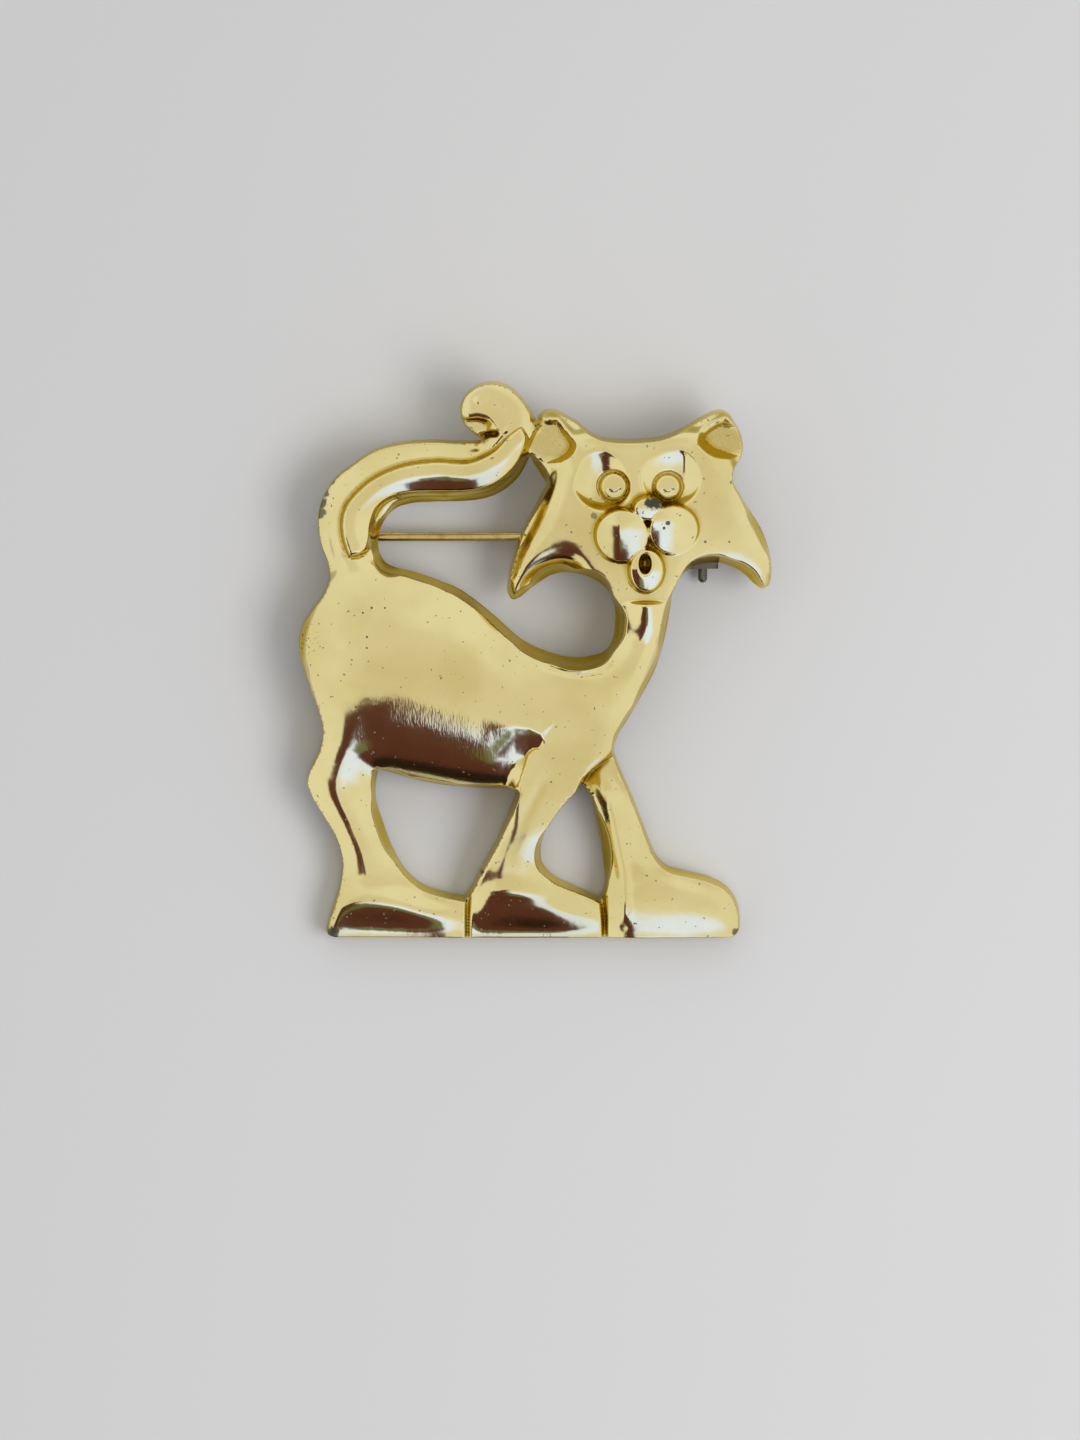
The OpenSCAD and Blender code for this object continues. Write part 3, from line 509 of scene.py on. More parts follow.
creaseHere = creaseHere * step(*tailBand["creaseX"], gridX) * step(*tailBand["creaseY"], gridY)
relief = relief - tailBand["crease"] * creaseHere
band = blur(np.maximum(band, tailBand["least"]), tailBand["soften"])
relief = softMax(relief, band, tailBand["round"])

# Soft and sharp lines of the modelling, as seen from above. A tone is painted shade that darkens the gold
# along a line
lines = {
    "curlCrease": {"points": [(17.9, 53.6), (19.3, 53.1), (20.1, 52.4), (20.7, 51.6), (20.9, 50.6)],
                   "height": 5, "depth": 0.14, "width": 0.7},
    "curlNotch": {"points": [(17.9, 49.7), (18.8, 50.2), (19.7, 50.3)],
                  "height": 3, "depth": 1.4, "width": 0.2, "fade": 0.0},
    "nearLegCrease": {"points": [(25.1, 17.9), (24.6, 15.6), (23.8, 13.8), (22.4, 11.0), (21.5, 8.4),
                                 (21.1, 5.4)],
                      "height": 5, "depth": 0.07, "width": 0.8, "fade": 0.25, "tone": 0.35},
    "farLegRidge": {"points": [(30.8, 14.7), (31.6, 11.0), (32.3, 7.1), (32.6, 4.8), (32.5, 0.8)],
                    "height": 4, "depth": -0.3, "width": 0.6, "fade": 0.12},
    "footSeamLeft": {"points": [(16.9, 4.2), (16.85, 2.4), (16.85, -0.6)],
                     "height": 3, "depth": 0.7, "width": 0.18, "fade": 0.0},
    "footSeamRight": {"points": [(30.3, 4.1), (30.5, 2.4), (30.6, -0.6)],
                      "height": 3, "depth": 0.7, "width": 0.18, "fade": 0.0},
    "chestCrease": {"points": [(24.2, 27.4), (26.6, 26.6), (29.0, 26.4), (30.6, 26.7), (31.5, 27.4)],
                    "height": 4.5, "depth": 0.3, "width": 0.25},
}
# painted shade along the lines that have a tone
creaseShade = np.zeros(gridX.shape)
for line in lines.values():
    pressed = groove(line)
    relief = relief - line["depth"] * pressed
    creaseShade = np.maximum(creaseShade, line.get("tone", 0.0) * pressed)
print("lines pressed")

# The face: everything stands on, or is sunk in, the plane of the forehead and cheeks
face = {
    "leftEye": {"at": (30.5, 45.65), "radius": 3.15, "deep": 1.3, "steep": 1.35, "shift": (-0.43, -1.1),
                "curve": (0.15, 0.048)},
    "rightEye": {"at": (37.25, 45.8), "radius": 2.95, "deep": 1.1, "steep": 1.3, "shift": (0.85, -0.8),
                 "curve": (0.05, 0.045), "turn": (1.25, 0.33)},
    "leftPupil": {"at": (31.5, 45.0), "foot": 1.5, "flat": 1.18, "rise": 0.5},
    "rightPupil": {"at": (36.87, 44.95), "foot": 1.4, "flat": 1.1, "rise": 0.5},
    "eyeHeight": 4.8,
    "nose": {"at": (34.9, 42.75), "radii": (1.65, 1.35), "lift": 2.0, "edge": 0.36, "height": 6.8,
             "crown": (0.0, 0.55), "fall": ((0.08, 0.1), (0.2, 0.25), (0.5, 0.27), (0.15, 0.2))},
    "leftPuff": {"at": (32.3, 40.05), "radii": (2.8, 2.75), "lift": 1.95, "edge": 0.27, "height": 6.2,
                 "crown": (-0.1, 1.7), "fall": ((0.6, 0.38), (0.14, 0.4), (0.2, 0.5), (0.1, 0.2))},
    "rightPuff": {"at": (37.5, 40.6), "radii": (2.6, 2.6), "lift": 1.85, "edge": 0.27, "height": 6.2,
                  "crown": (-2.2, 1.4), "fall": ((0.3, 0.3), (0.12, 0.4), (0.4, 0.5), (0.1, 0.2))},
    "chin": {"at": (34.75, 36.6), "radii": (1.85, 2.3), "lift": 1.3, "edge": 0.3, "height": 5.4,
             "crown": (-0.45, 0.4), "fall": ((0.3, 0.4), (0.16, 0.3), (0.45, 0.31), (0.1, 0.2))},
    "mouth": {"at": (34.6, 37.3), "radii": (0.66, 1.15), "deep": 1.5, "height": 5.6, "sink": (0.2, 1.1),
              "dark": (0.7, 1.05)},
    "plain": 0.5,
    "sunk": 0.05,
}
# How the eye bowls round over, and the depth and width of each ring and line of the pupils
eyeRound = {"floor": 0.12, "rim": 0.22, "beyond": 0.25}
pupilLines = {
    "foot": (0.22, 0.12), "flat": (0.05, 0.09), "smile": (0.16, 0.11), "smileAt": 0.55,
    "smileStart": (195, 225), "smileEnd": (325, 350), "round": 0.08, "sunk": 0.05,
}


def sinkEye(relief, eye):
    place = placeOf(eye)
    rho = ovalRound(place)
    low = place + np.array(eye["shift"])
    level = relief[np.abs(rho - eye["radius"]) < cell].max()
    curveAcross, curveUp = eye["curve"]
    bowl = level - eye["deep"] + curveAcross * (gridX - low[0]) ** 2 + curveUp * (gridY - low[1]) ** 2
    if "turn" in eye:
        bowl = bowl + eye["turn"][1] * np.clip(gridX - place[0] - eye["turn"][0], 0, None)
    wall = relief - eye["steep"] * np.clip(eye["radius"] - rho, 0, None)
    sunk = softMin(relief, softMax(bowl, wall, eyeRound["floor"]), eyeRound["rim"])
    return np.where(rho < eye["radius"] + eyeRound["beyond"], sunk, relief)


def raisePupil(relief, pupil):
    place = placeOf(pupil)
    rho = ovalRound(place)
    floorZ = relief[rho < cell * 1.5].mean()
    slope = pupil["rise"] / (pupil["foot"] - pupil["flat"])
    cone = np.minimum(floorZ + slope * (pupil["foot"] - rho), floorZ + pupil["rise"])
    cone = softMax(floorZ - pupilLines["sunk"], cone, pupilLines["round"])
    relief = np.where(rho < pupil["foot"], cone, relief)
    # rings at its foot and round its flat top, and a small smile engraved in the top
    angle = np.degrees(np.arctan2(gridY - place[1], gridX - place[0])) % 360
    smile = step(*pupilLines["smileStart"], angle) * (1 - step(*pupilLines["smileEnd"], angle))
    smileAt = pupilLines["smileAt"] * pupil["flat"]
    for ring, radius, here in (
        ("foot", pupil["foot"], 1), ("smile", smileAt, smile), ("flat", pupil["flat"], 1),
    ):
        depth, width = pupilLines[ring]
        relief = relief - depth * bell(rho - radius, width) * here
    return relief


# The throat is a wedge, high below the chin, that runs out down the neck
throat = {"top": 33.7, "bottom": 29.6, "middle": 34.7, "lift": 1.0, "wide": 1.7, "end": 0.3, "soften": 0.1}
wedge = throat["lift"] * np.clip((gridY - throat["bottom"]) / (throat["top"] - throat["bottom"]), 0, 1)
wedge = wedge * step(throat["top"] + throat["end"], throat["top"], gridY)
wedge = wedge * bell(gridX - throat["middle"], throat["wide"])
relief = relief + blur(wedge, throat["soften"])
plainFace = blur(relief, face["plain"])
for eye in ("leftEye", "rightEye"):
    relief = sinkEye(relief, face[eye])
for pupil in ("leftPupil", "rightPupil"):
    relief = raisePupil(relief, face[pupil])
for part in ("chin", "leftPuff", "rightPuff", "nose"):
    lift = swell(face[part])
    raised = softMax(relief, plainFace + lift - face["sunk"], face["sunk"])
    relief = np.where(lift > outside, raised, relief)
mouth = face["mouth"]
mouthShare = ovalRound(placeOf(mouth), mouth["radii"])
# painted shade inside the mouth, which darkens the gold there
mouthShade = 1 - step(*mouth["dark"], mouthShare)
relief = relief - mouth["deep"] * (1 - step(*mouth["sink"], mouthShare))

# The sunken, stippled floor of each ear, and the scoop at the end of the curl
hollows = {
    "leftEar": {"corners": [(24.0, 51.5, 1), (25.9, 51.8, 1), (27.3, 50.0, 1), (27.75, 49.2), (27.2, 48.0),
                            (26.1, 47.4, 1), (24.4, 47.3, 1), (22.5, 48.5, 1)],
                "height": 4.2, "floor": 3.4, "steep": 2.2},
    "rightEar": {"corners": [(42.6, 51.9, 1), (41.3, 51.4), (40.0, 50.4), (39.7, 49.4, 1), (40.3, 48.7),
                             (41.5, 47.9), (43.0, 47.7, 1), (44.9, 48.2, 1), (44.9, 50.3, 1)],
                 "height": 4.2, "floor": 3.1, "steep": 1.9},
    "curlScoop": {"corners": [(15.6, 51.9, 1), (16.9, 51.9), (18.2, 51.95), (18.9, 51.7), (19.35, 51.2, 1),
                              (19.0, 50.7), (18.4, 50.2), (17.6, 49.3, 1), (16.0, 50.0)],
                  "height": 4.0, "floor": 3.2, "steep": 1.7},
}
stippled = {"fade": (0.3, 0.8), "above": 0.15}
earMask = np.zeros(gridX.shape)
for name, hollow in hollows.items():
    edge = signedDistance([pictureLine(hollow["corners"], hollow["height"])], 2.5)
    cut = np.maximum(hollow["floor"], relief - hollow["steep"] * np.clip(edge, 0, None))
    relief = np.where(edge > 0, np.minimum(relief, cut), relief)
    if "Ear" in name:
        onFloor = relief < hollow["floor"] + stippled["above"]
        earMask = np.maximum(earMask, step(*stippled["fade"], edge) * onFloor)
relief = blur(relief, grid["soften"])
print("face modelled")

# The side walls lean in from the rim to the face: wide and crisp where the picture shows them, elsewhere
# steep and rounded over. Each place has x, y, reach, wall width and roundness
edgePlaces = [
    (12.0, 43.4, 2.4, 0.95, 0.15), (17.0, 43.6, 2.4, 0.95, 0.15), (21.3, 45.2, 2.2, 0.9, 0.15),
    (8.2, 40.2, 1.6, 0.75, 0.2), (8.7, 37.1, 1.3, 0.9, 0.2), (12.0, 36.2, 2.0, 0.45, 0.15),
    (16.0, 34.6, 2.4, 0.5, 0.15), (20.0, 31.7, 2.4, 0.55, 0.15), (24.0, 28.8, 2.4, 0.75, 0.15),
    (28.3, 28.2, 2.4, 0.95, 0.15), (22.2, 34.2, 1.2, 0.8, 0.2), (25.3, 36.3, 1.8, 1.3, 0.15),
    (29.2, 35.6, 1.6, 1.3, 0.2), (31.5, 31.6, 1.8, 1.1, 0.2), (9.3, 16.3, 1.6, 0.75, 0.15),
    (13.7, 15.3, 2.2, 0.75, 0.15), (18.9, 14.9, 2.4, 0.75, 0.15), (8.4, 11.0, 2.4, 0.6, 0.3),
    (30.2, 9.5, 2.6, 0.95, 0.2), (24.3, 9.0, 1.8, 0.55, 0.3), (37.0, 31.5, 2.4, 0.75, 0.3),
    (35.2, 25.5, 2.4, 0.75, 0.3), (32.8, 21.5, 2.0, 0.7, 0.3), (41.0, 37.2, 2.2, 1.15, 0.15),
    (44.2, 36.4, 1.8, 1.1, 0.15), (46.0, 41.0, 2.0, 0.75, 0.3), (33.0, 49.8, 3.5, 0.25, 0.4),
    (23.9, 46.7, 1.1, 0.9, 0.15), (23.6, 50.6, 1.3, 0.65, 0.2), (22.6, 47.3, 1.0, 0.9, 0.15),
]
everywhere = {
    "weight": 0.12, "width": 0.16, "round": 0.5, "soles": (0.5, 2.0), "soleWidth": 0.25, "soleRound": 0.25,
}
weights = np.full(gridX.shape, everywhere["weight"])
wallWidth = weights * everywhere["width"]
edgeRound = weights * everywhere["round"]
for x, y, reach, width, roundness in edgePlaces:
    here = np.exp(-2 * ((gridX - x) ** 2 + (gridY - y) ** 2) / reach**2)
    weights += here
    wallWidth += here * width
    edgeRound += here * roundness
soles = 1 - step(*everywhere["soles"], gridY)
wallWidth = wallWidth / weights * (1 - soles) + everywhere["soleWidth"] * soles
edgeRound = edgeRound / weights * (1 - soles) + everywhere["soleRound"] * soles
front = relief * softMin(np.clip(edgeDistance, 0, None) / wallWidth, 1, edgeRound)


def sample(field, points):
    # a smooth reading of a grid field at any places, through the four cells round each along each axis
    fx = (points[:, 0] + grid["margin"]) / cell
    fy = (points[:, 1] + grid["margin"]) / cell
    ix = np.clip(np.floor(fx).astype(int), 1, field.shape[1] - 3)
    iy = np.clip(np.floor(fy).astype(int), 1, field.shape[0] - 3)

    def weights(t):
        return (-0.5 * t + t**2 - 0.5 * t**3, 1 - 2.5 * t**2 + 1.5 * t**3,
                0.5 * t + 2 * t**2 - 1.5 * t**3, -0.5 * t**2 + 0.5 * t**3)

    wx, wy = weights(fx - ix), weights(fy - iy)
    return sum(wy[j] * wx[i] * field[iy + j - 1, ix + i - 1] for j in range(4) for i in range(4))


# The mesh: the same rim points in front and behind, rows along the walls, and an even net between them.
# The rows in front are in widths of the wall, and those behind in millimetres
mesh = {
    "rowsFront": [0.35, 0.62, 0.76, 0.86, 0.95, 1.05, 1.17, 1.32, 1.5, 1.75],
    "rowsBack": [1.15, 1.32, 1.6, 2.0], "probe": 0.3, "rowSlack": 0.03, "netFront": 0.19, "netFace": 0.14,
    "netBack": 0.5, "clearFront": 0.12, "clearBack": 0.2, "thinFront": 0.06, "thinBack": 0.12,
    "faceBox": (27.0, 34.0, 40.8, 49.5), "inside": 0.02, "unsure": 0.04, "rim": 1.25, "wall": 1.3,
    "backSoft": 0.3, "backSteep": 2.2, "backRound": 0.2, "lowest": 0.02, "padStep": 0.05, "padSpacing": 0.5,
}


def netOver(box, size):
    # rows of points, each shifted half a step against the last
    xs = np.arange(box[0], box[2], size)
    ys = np.arange(box[1], box[3], size * math.sqrt(3) / 2)
    x, y = np.meshgrid(xs, ys)
    x = x + (np.arange(len(ys)) % 2)[:, None] * size / 2
    return np.column_stack([x.ravel(), y.ravel()])


def within(box, points):
    x, y = points[:, 0], points[:, 1]
    return (x > box[0]) & (x < box[2]) & (y > box[1]) & (y < box[3])


def rowsInside(distances, stretch=None):
    # copies of the outlines, moved inwards. Points that another edge is nearer to are left out
    rows = []
    for line in outlines:
        tangent = np.roll(line, -1, axis=0) - np.roll(line, 1, axis=0)
        tangent /= np.linalg.norm(tangent, axis=1)[:, None]
        normal = np.column_stack([-tangent[:, 1], tangent[:, 0]])
        probe = sample(edgeDistance, line + normal * mesh["probe"])
        normal *= np.where(probe > 0, 1, -1)[:, None]
        width = np.ones(len(line)) if stretch is None else sample(stretch, line)
        for d in distances:
            moved = line + normal * (d * width)[:, None]
            rows.append(moved[np.abs(sample(edgeDistance, moved) - d * width) < mesh["rowSlack"]])
    return np.vstack(rows)


def thinOut(points, size):
    # keeps one point of those that crowd together
    keys = np.round(points / size).astype(int)
    _, first = np.unique(keys, axis=0, return_index=True)
    return points[np.sort(first)]


def areas(points, faces):
    a, b, c = (points[faces[:, k]] for k in range(3))
    return (b[:, 0] - a[:, 0]) * (c[:, 1] - a[:, 1]) - (b[:, 1] - a[:, 1]) * (c[:, 0] - a[:, 0])


def isInside(place):
    # by the crossings of all outlines with a ray to the right
    crossings = 0
    for line in outlines:
        a, b = line, np.roll(line, -1, axis=0)
        spans = (a[:, 1] > place[1]) != (b[:, 1] > place[1])
        a, b = a[spans], b[spans]
        x = a[:, 0] + (place[1] - a[:, 1]) * (b[:, 0] - a[:, 0]) / (b[:, 1] - a[:, 1])
        crossings += int((x > place[0]).sum())
    return crossings % 2 == 1


def triangulate(free, extraLoops=()):
    # triangles over the inside of the outlines, through the free points
    count, edges = 0, []
    loops = [*outlines, *extraLoops]
    for loop in loops:
        n = len(loop)
        edges += [(count + i, count + (i + 1) % n) for i in range(n)]
        count += n
    points = np.vstack(loops + [free])
    verts, _, faces, *_ = delaunay_2d_cdt([Vector(p) for p in points], edges, [], 0, 1e-7, False)
    verts = np.array([v[:] for v in verts])
    faces = np.array([f[:3] for f in faces])
    middle = verts[faces].mean(axis=1)
    depth = sample(edgeDistance, middle)
    inside = depth > mesh["inside"]
    for k in np.nonzero(np.abs(depth) <= mesh["unsure"])[0]:
        inside[k] = isInside(middle[k])
    faces = faces[inside]
    turned = areas(verts, faces) < 0
    faces[turned] = faces[turned][:, ::-1]
    return verts, faces


whole = (0, 0, brooch["width"], brooch["height"])
net = netOver(whole, mesh["netFront"])
x0, y0, x1, y1 = mesh["faceBox"]
outOfFace = (net[:, 0] < x0) | (net[:, 0] > x1) | (net[:, 1] < y0) | (net[:, 1] > y1)
net = np.vstack([net[outOfFace], netOver(mesh["faceBox"], mesh["netFace"])])
lastRow = mesh["rowsFront"][-1]
net = net[sample(edgeDistance, net) > lastRow * sample(wallWidth, net) + mesh["clearFront"]]
frontFree = np.vstack([thinOut(rowsInside(mesh["rowsFront"], wallWidth), mesh["thinFront"]), net])
frontVerts, frontFaces = triangulate(frontFree)
print("front triangles:", len(frontFaces))

# Behind, a flat rim and a hollow that follows the front, with two cast pads that carry the plates
pads = {
    "hinge": {"at": (0.108, 0.718), "box": (-1.7, -2.6, 1.7, 2.6)},
    "catch": {"at": (0.854, 0.718), "box": (-1.5, -1.2, 1.5, 3.1)},
}


def padBox(pad, grow=0.0):
    x, y = spotOf(pad["at"])
    x0, y0, x1, y1 = pad["box"]
    return x + x0 - grow, y + y0 - grow, x + x1 + grow, y + y1 + grow


def padLoop(pad, grow):
    x0, y0, x1, y1 = padBox(pad, grow)
    corners = [(x0, y0, 1), (x1, y0, 1), (x1, y1, 1), (x0, y1, 1)]
    return curveThrough(corners, True, mesh["padSpacing"])


softFront = blur(front, mesh["backSoft"])


def backHeight(points):
    ceiling = np.clip(sample(softFront, points) - mesh["wall"], 0, None)
    slope = mesh["backSteep"] * (sample(edgeDistance, points) - mesh["rim"])
    z = np.clip(softMin(ceiling, slope, mesh["backRound"]), 0, None)
    for pad in pads.values():
        z = np.where(within(padBox(pad), points), 0, z)
    return z


backNet = netOver(whole, mesh["netBack"])
backNet = backNet[sample(edgeDistance, backNet) > mesh["rowsBack"][-1] + mesh["clearBack"]]
backFree = np.vstack([thinOut(rowsInside(mesh["rowsBack"]), mesh["thinBack"]), backNet])
padLoops = [padLoop(pad, side * mesh["padStep"]) for pad in pads.values() for side in (-1, 1)]
backVerts, backFaces = triangulate(backFree, padLoops)
print("back triangles:", len(backFaces))


def addToScene(name, data):
    thing = bpy.data.objects.new(name, data)
    bpy.context.scene.collection.objects.link(thing)
    return thing


def makeObject(name, verts, faces, material=None, smooth=True):
    data = bpy.data.meshes.new(name)
    data.from_pydata(np.asarray(verts).tolist(), [], np.asarray(faces).tolist())
    data.polygons.foreach_set("use_smooth", np.full(len(faces), smooth))
    data.validate()
    thing = addToScene(name, data)
    if material:
        data.materials.append(material)
    return thing


def normalsOf(height, points, sign):
    # the way that a height field faces, in the table's frame
    e = 0.05
    sx = (height(points + (e, 0)) - height(points - (e, 0))) / (2 * e)
    sy = (height(points + (0, e)) - height(points - (0, e))) / (2 * e)
    n = np.column_stack([-sx, -sy, np.ones(len(points))]) * sign
    return leanBack(n / np.linalg.norm(n, axis=1)[:, None])


def upTheWall(points):
    # 0 at the rim and 1 where the leaning wall ends
    return np.clip(sample(edgeDistance, points), 0, None) / sample(wallWidth, points)


def frontHeight(points):
    return sample(relief, points) * softMin(upTheWall(points), 1, sample(edgeRound, points))


# Painted shade, where the gold is darkened: on the walls, dark at the rim, lighter in a painted band half way
# up and with a dark line below the face, in hollows of the relief, and where it is steep
tone = {
    "wallEnd": (0.85, 1.15), "crisp": (0.2, 0.5), "brightStart": (0.35, 0.5), "brightEnd": (0.68, 0.8),
    "brightWidth": (0.6, 0.8), "bright": 0.6, "around": 0.45, "deepest": 0.55, "offWall": (0.4, 1.0),
    "steep": (0.8, 1.5), "steepOffWall": (1.15, 1.6), "steepSoft": 0.06, "steepShare": 0.7,
    "low": (1.0, 2.4),
}


def wallShade(points):
    share = upTheWall(points)
    crisp = 1 - step(*tone["crisp"], sample(edgeRound, points))
    bright = step(*tone["brightStart"], share) * (1 - step(*tone["brightEnd"], share))
    bright = bright * step(*tone["brightWidth"], sample(wallWidth, points))
    # painted shade on the wall, lessened in a painted lighter band half way up
    return (1 - step(*tone["wallEnd"], share)) * crisp * (1 - tone["bright"] * bright)


wallShare = edgeDistance / wallWidth
# painted shade in the hollows of the relief, inside the mouth, on steep faces off the walls and along the
# crease lines
hollowShade = np.clip((blur(front, tone["around"]) - front) / tone["deepest"], 0, 1)
hollowShade = np.maximum(hollowShade * step(*tone["offWall"], wallShare), mouthShade)
tilt = np.hypot(*np.gradient(front, cell))
steepShade = blur(step(*tone["steep"], tilt) * step(*tone["steepOffWall"], wallShare), tone["steepSoft"])
hollowShade = np.maximum(hollowShade, np.maximum(tone["steepShare"] * steepShade, creaseShade))


def addFact(thing, name, values):
    # a number at each vertex, which the finishes read by name
    made = thing.data.attributes.new(name, "FLOAT", "POINT")
    made.data.foreach_set("value", np.asarray(values, np.float32))


def castBody():
    # the front and the back share their rim points, and the rest of the back's points follow the front's
    def keyOf(p):
        return tuple(np.round(p, 4))

    rimKeys = {keyOf(p) for loop in outlines for p in loop}
    rimIndex = {keyOf(p): i for i, p in enumerate(frontVerts)}
    onRim = np.zeros(len(frontVerts), bool)
    backIndex = np.zeros(len(backVerts), int)
    extra = []
    for i, p in enumerate(backVerts):
        key = keyOf(p)
        if key in rimKeys and key in rimIndex:
            backIndex[i] = rimIndex[key]
            onRim[rimIndex[key]] = True
        else:
            backIndex[i] = len(frontVerts) + len(extra)
            extra.append(i)
    frontZ = np.where(onRim, 0.0, np.maximum(frontHeight(frontVerts), mesh["lowest"]))
    flat = np.vstack([
        np.column_stack([frontVerts, frontZ]),
        np.column_stack([backVerts[extra], backHeight(backVerts[extra])]),
    ])
    underFaces = backIndex[backFaces]
    # a triangle between three rim points that both sides share has no thickness, so both copies go
    frontSet = {tuple(sorted(f)): i for i, f in enumerate(frontFaces)}
    underTrios = [tuple(sorted(f)) for f in underFaces]
    both = [(frontSet[trio], i) for i, trio in enumerate(underTrios) if trio in frontSet]
    over = np.delete(frontFaces, [a for a, _ in both], axis=0)
    under, underFlat = (
        np.delete(faces, [b for _, b in both], axis=0)[:, ::-1] for faces in (underFaces, backFaces)
    )
    body = makeObject("cat_body", toTable(flat), np.vstack([over, under]))
    frontNormals = normalsOf(frontHeight, frontVerts, 1)
    backNormals = normalsOf(backHeight, backVerts, -1)
    loops = np.vstack([frontNormals[over.ravel()], backNormals[underFlat.ravel()]])
    body.data.normals_split_custom_set(loops.tolist())
    # wall and hollow carry painted shade for the gold's colour
    for name, inFront, inBack in (
        ("wall", wallShade(frontVerts), 0.0),
        ("stipple", np.clip(sample(earMask, frontVerts), 0, 1), 0.0),
        ("hollow", np.clip(sample(hollowShade, frontVerts), 0, 1), 0.0),
        ("low", 1 - step(*tone["low"], frontZ), 1.0),
        ("behind", np.zeros(len(frontVerts)), 1.0),
    ):
        addFact(body, name, np.concatenate([inFront, np.full(len(extra), inBack)]))
    return body


catBody = castBody()
print("casting made:", len(catBody.data.polygons))

# Three studs, cast on the back and spread over the plates. Each has rings from the shank out under the
# head, round its rim and up its dome, with a radius and a depth below the back
studs = {
    "sides": 28,
    "places": [("hinge", -1.85), ("hinge", 1.85), ("catch", 2.45)],
    "rings": [
        (0.45, 0.3), (0.45, 0.54), (0.52, 0.55), (0.59, 0.59), (0.6, 0.64), (0.56, 0.71), (0.46, 0.76),
        (0.3, 0.79), (0.13, 0.805),
    ],
    "top": 0.808,
}


def studHeads():
    n, rings = studs["sides"], studs["rings"]
    turns = np.linspace(0, 2 * math.pi, n, endpoint=False)
    verts, faces = [], []
    for pad, along in studs["places"]:
        x, y = spotOf(pads[pad]["at"])
        y = y + along
        first = len(verts)
        for radius, down in rings:
            verts += [(x + radius * math.cos(t), y + radius * math.sin(t), -down) for t in turns]
        verts += [(x, y, -rings[0][1]), (x, y, -studs["top"])]
        last = len(verts) - 1
        for r in range(first, first + (len(rings) - 1) * n, n):
            for k in range(n):
                a, b = r + k, r + (k + 1) % n
                faces += [(a, a + n, b), (b, a + n, b + n)]
        rim = first + (len(rings) - 1) * n
        for k in range(n):
            faces.append((first + k, first + (k + 1) % n, last - 1))
            faces.append((rim + (k + 1) % n, rim + k, last))
    return makeObject("back_studs", toTable(verts), np.array(faces))


studPiece = studHeads()
print("studs made")


class Wire:
    # one socket of a node tree, so that shader maths reads as maths
    def __init__(self, tree, socket=None):
        self.tree, self.socket = tree, socket

    def node(self, kind, settings=None, sockets=None, out=0):
        made = self.tree.nodes.new(kind)
        for name, value in (settings or {}).items():
            setattr(made, name, value)
        for name, value in (sockets or {}).items():
            if isinstance(value, Wire):
                self.tree.links.new(value.socket, made.inputs[name])
            elif isinstance(value, tuple) and len(value) == 3 and made.inputs[name].type == "RGBA":
                made.inputs[name].default_value = (*value, 1)
            else:
                made.inputs[name].default_value = value
        return Wire(self.tree, made.outputs[out] if len(made.outputs) else None)

    def maths(self, operation, *values):
        return self.node("ShaderNodeMath", {"operation": operation}, dict(enumerate(values)))

    def over(self, other):
        return self.maths("MAXIMUM", self, other)

    def fade(self, start, end):
        # 0 at start and 1 at end, softly
        return self.node("ShaderNodeMapRange", {"interpolation_type": "SMOOTHSTEP"},
                         {"Value": self, "From Min": start, "From Max": end})

    def between(self, a, b):
        # colour a where this is 0, colour b where it is 1
        return self.node("ShaderNodeMix", {"data_type": "RGBA"}, {"Factor": self, 6: a, 7: b}, 2)

    def vector(self, operation, *values, out=0):
        return self.node("ShaderNodeVectorMath", {"operation": operation}, dict(enumerate(values)), out)

    def part(self, axis):
        return self.node("ShaderNodeSeparateXYZ", None, {0: self}, axis)

    def noise(self, scale, detail=2.0):
        return self.node("ShaderNodeTexNoise", None, {"Vector": self, "Scale": scale, "Detail": detail})

    def stretched(self, shares):
        return self.vector("MULTIPLY", self, shares)

    def awayFrom(self, place):
        # distance from a place in metres, counted in millimetres
        return self.vector("DISTANCE", self, tuple(place), out=1) * 1000


for sign, operation in {
    "add": "ADD", "sub": "SUBTRACT", "mul": "MULTIPLY", "truediv": "DIVIDE", "pow": "POWER",
}.items():
    setattr(Wire, f"__{sign}__", lambda a, b, how=operation: a.maths(how, a, b))
    setattr(Wire, f"__r{sign}__", lambda a, b, how=operation: a.maths(how, b, a))


def newFinish(name):
    # an empty material, the start of its nodes, and the place of each point of the surface
    made = bpy.data.materials.new(name)
    made.use_nodes = True
    made.node_tree.nodes.clear()
    start = Wire(made.node_tree)
    return made, start, start.node("ShaderNodeTexCoord", None, None, 3)


def finishOff(start, sockets):
    shader = start.node("ShaderNodeBsdfPrincipled", None, sockets)
    start.node("ShaderNodeOutputMaterial", None, {"Surface": shader})


def finishMetal(start, colour, roughness, height, strength, **more):
    bent = start.node("ShaderNodeBump", None, {"Strength": strength, "Distance": 1.0, "Height": height})
    sockets = {"Base Color": colour, "Metallic": 1.0, "Roughness": roughness, "Normal": bent}
    finishOff(start, {**sockets, **more})


def fact(start, name):
    return start.node("ShaderNodeAttribute", {"attribute_name": name}, None, 2)


def placeOnBrooch(px, py, height):
    # from a place in the picture and its height above the back rim, to metres on the table
    zero, perMm = sight["zero"], sight["perMm"]
    x, y, _ = fromPicture([((px - zero[0]) / perMm, (zero[1] - py) / perMm)], height)[0]
    return toTable([(x, y, height)])[0]
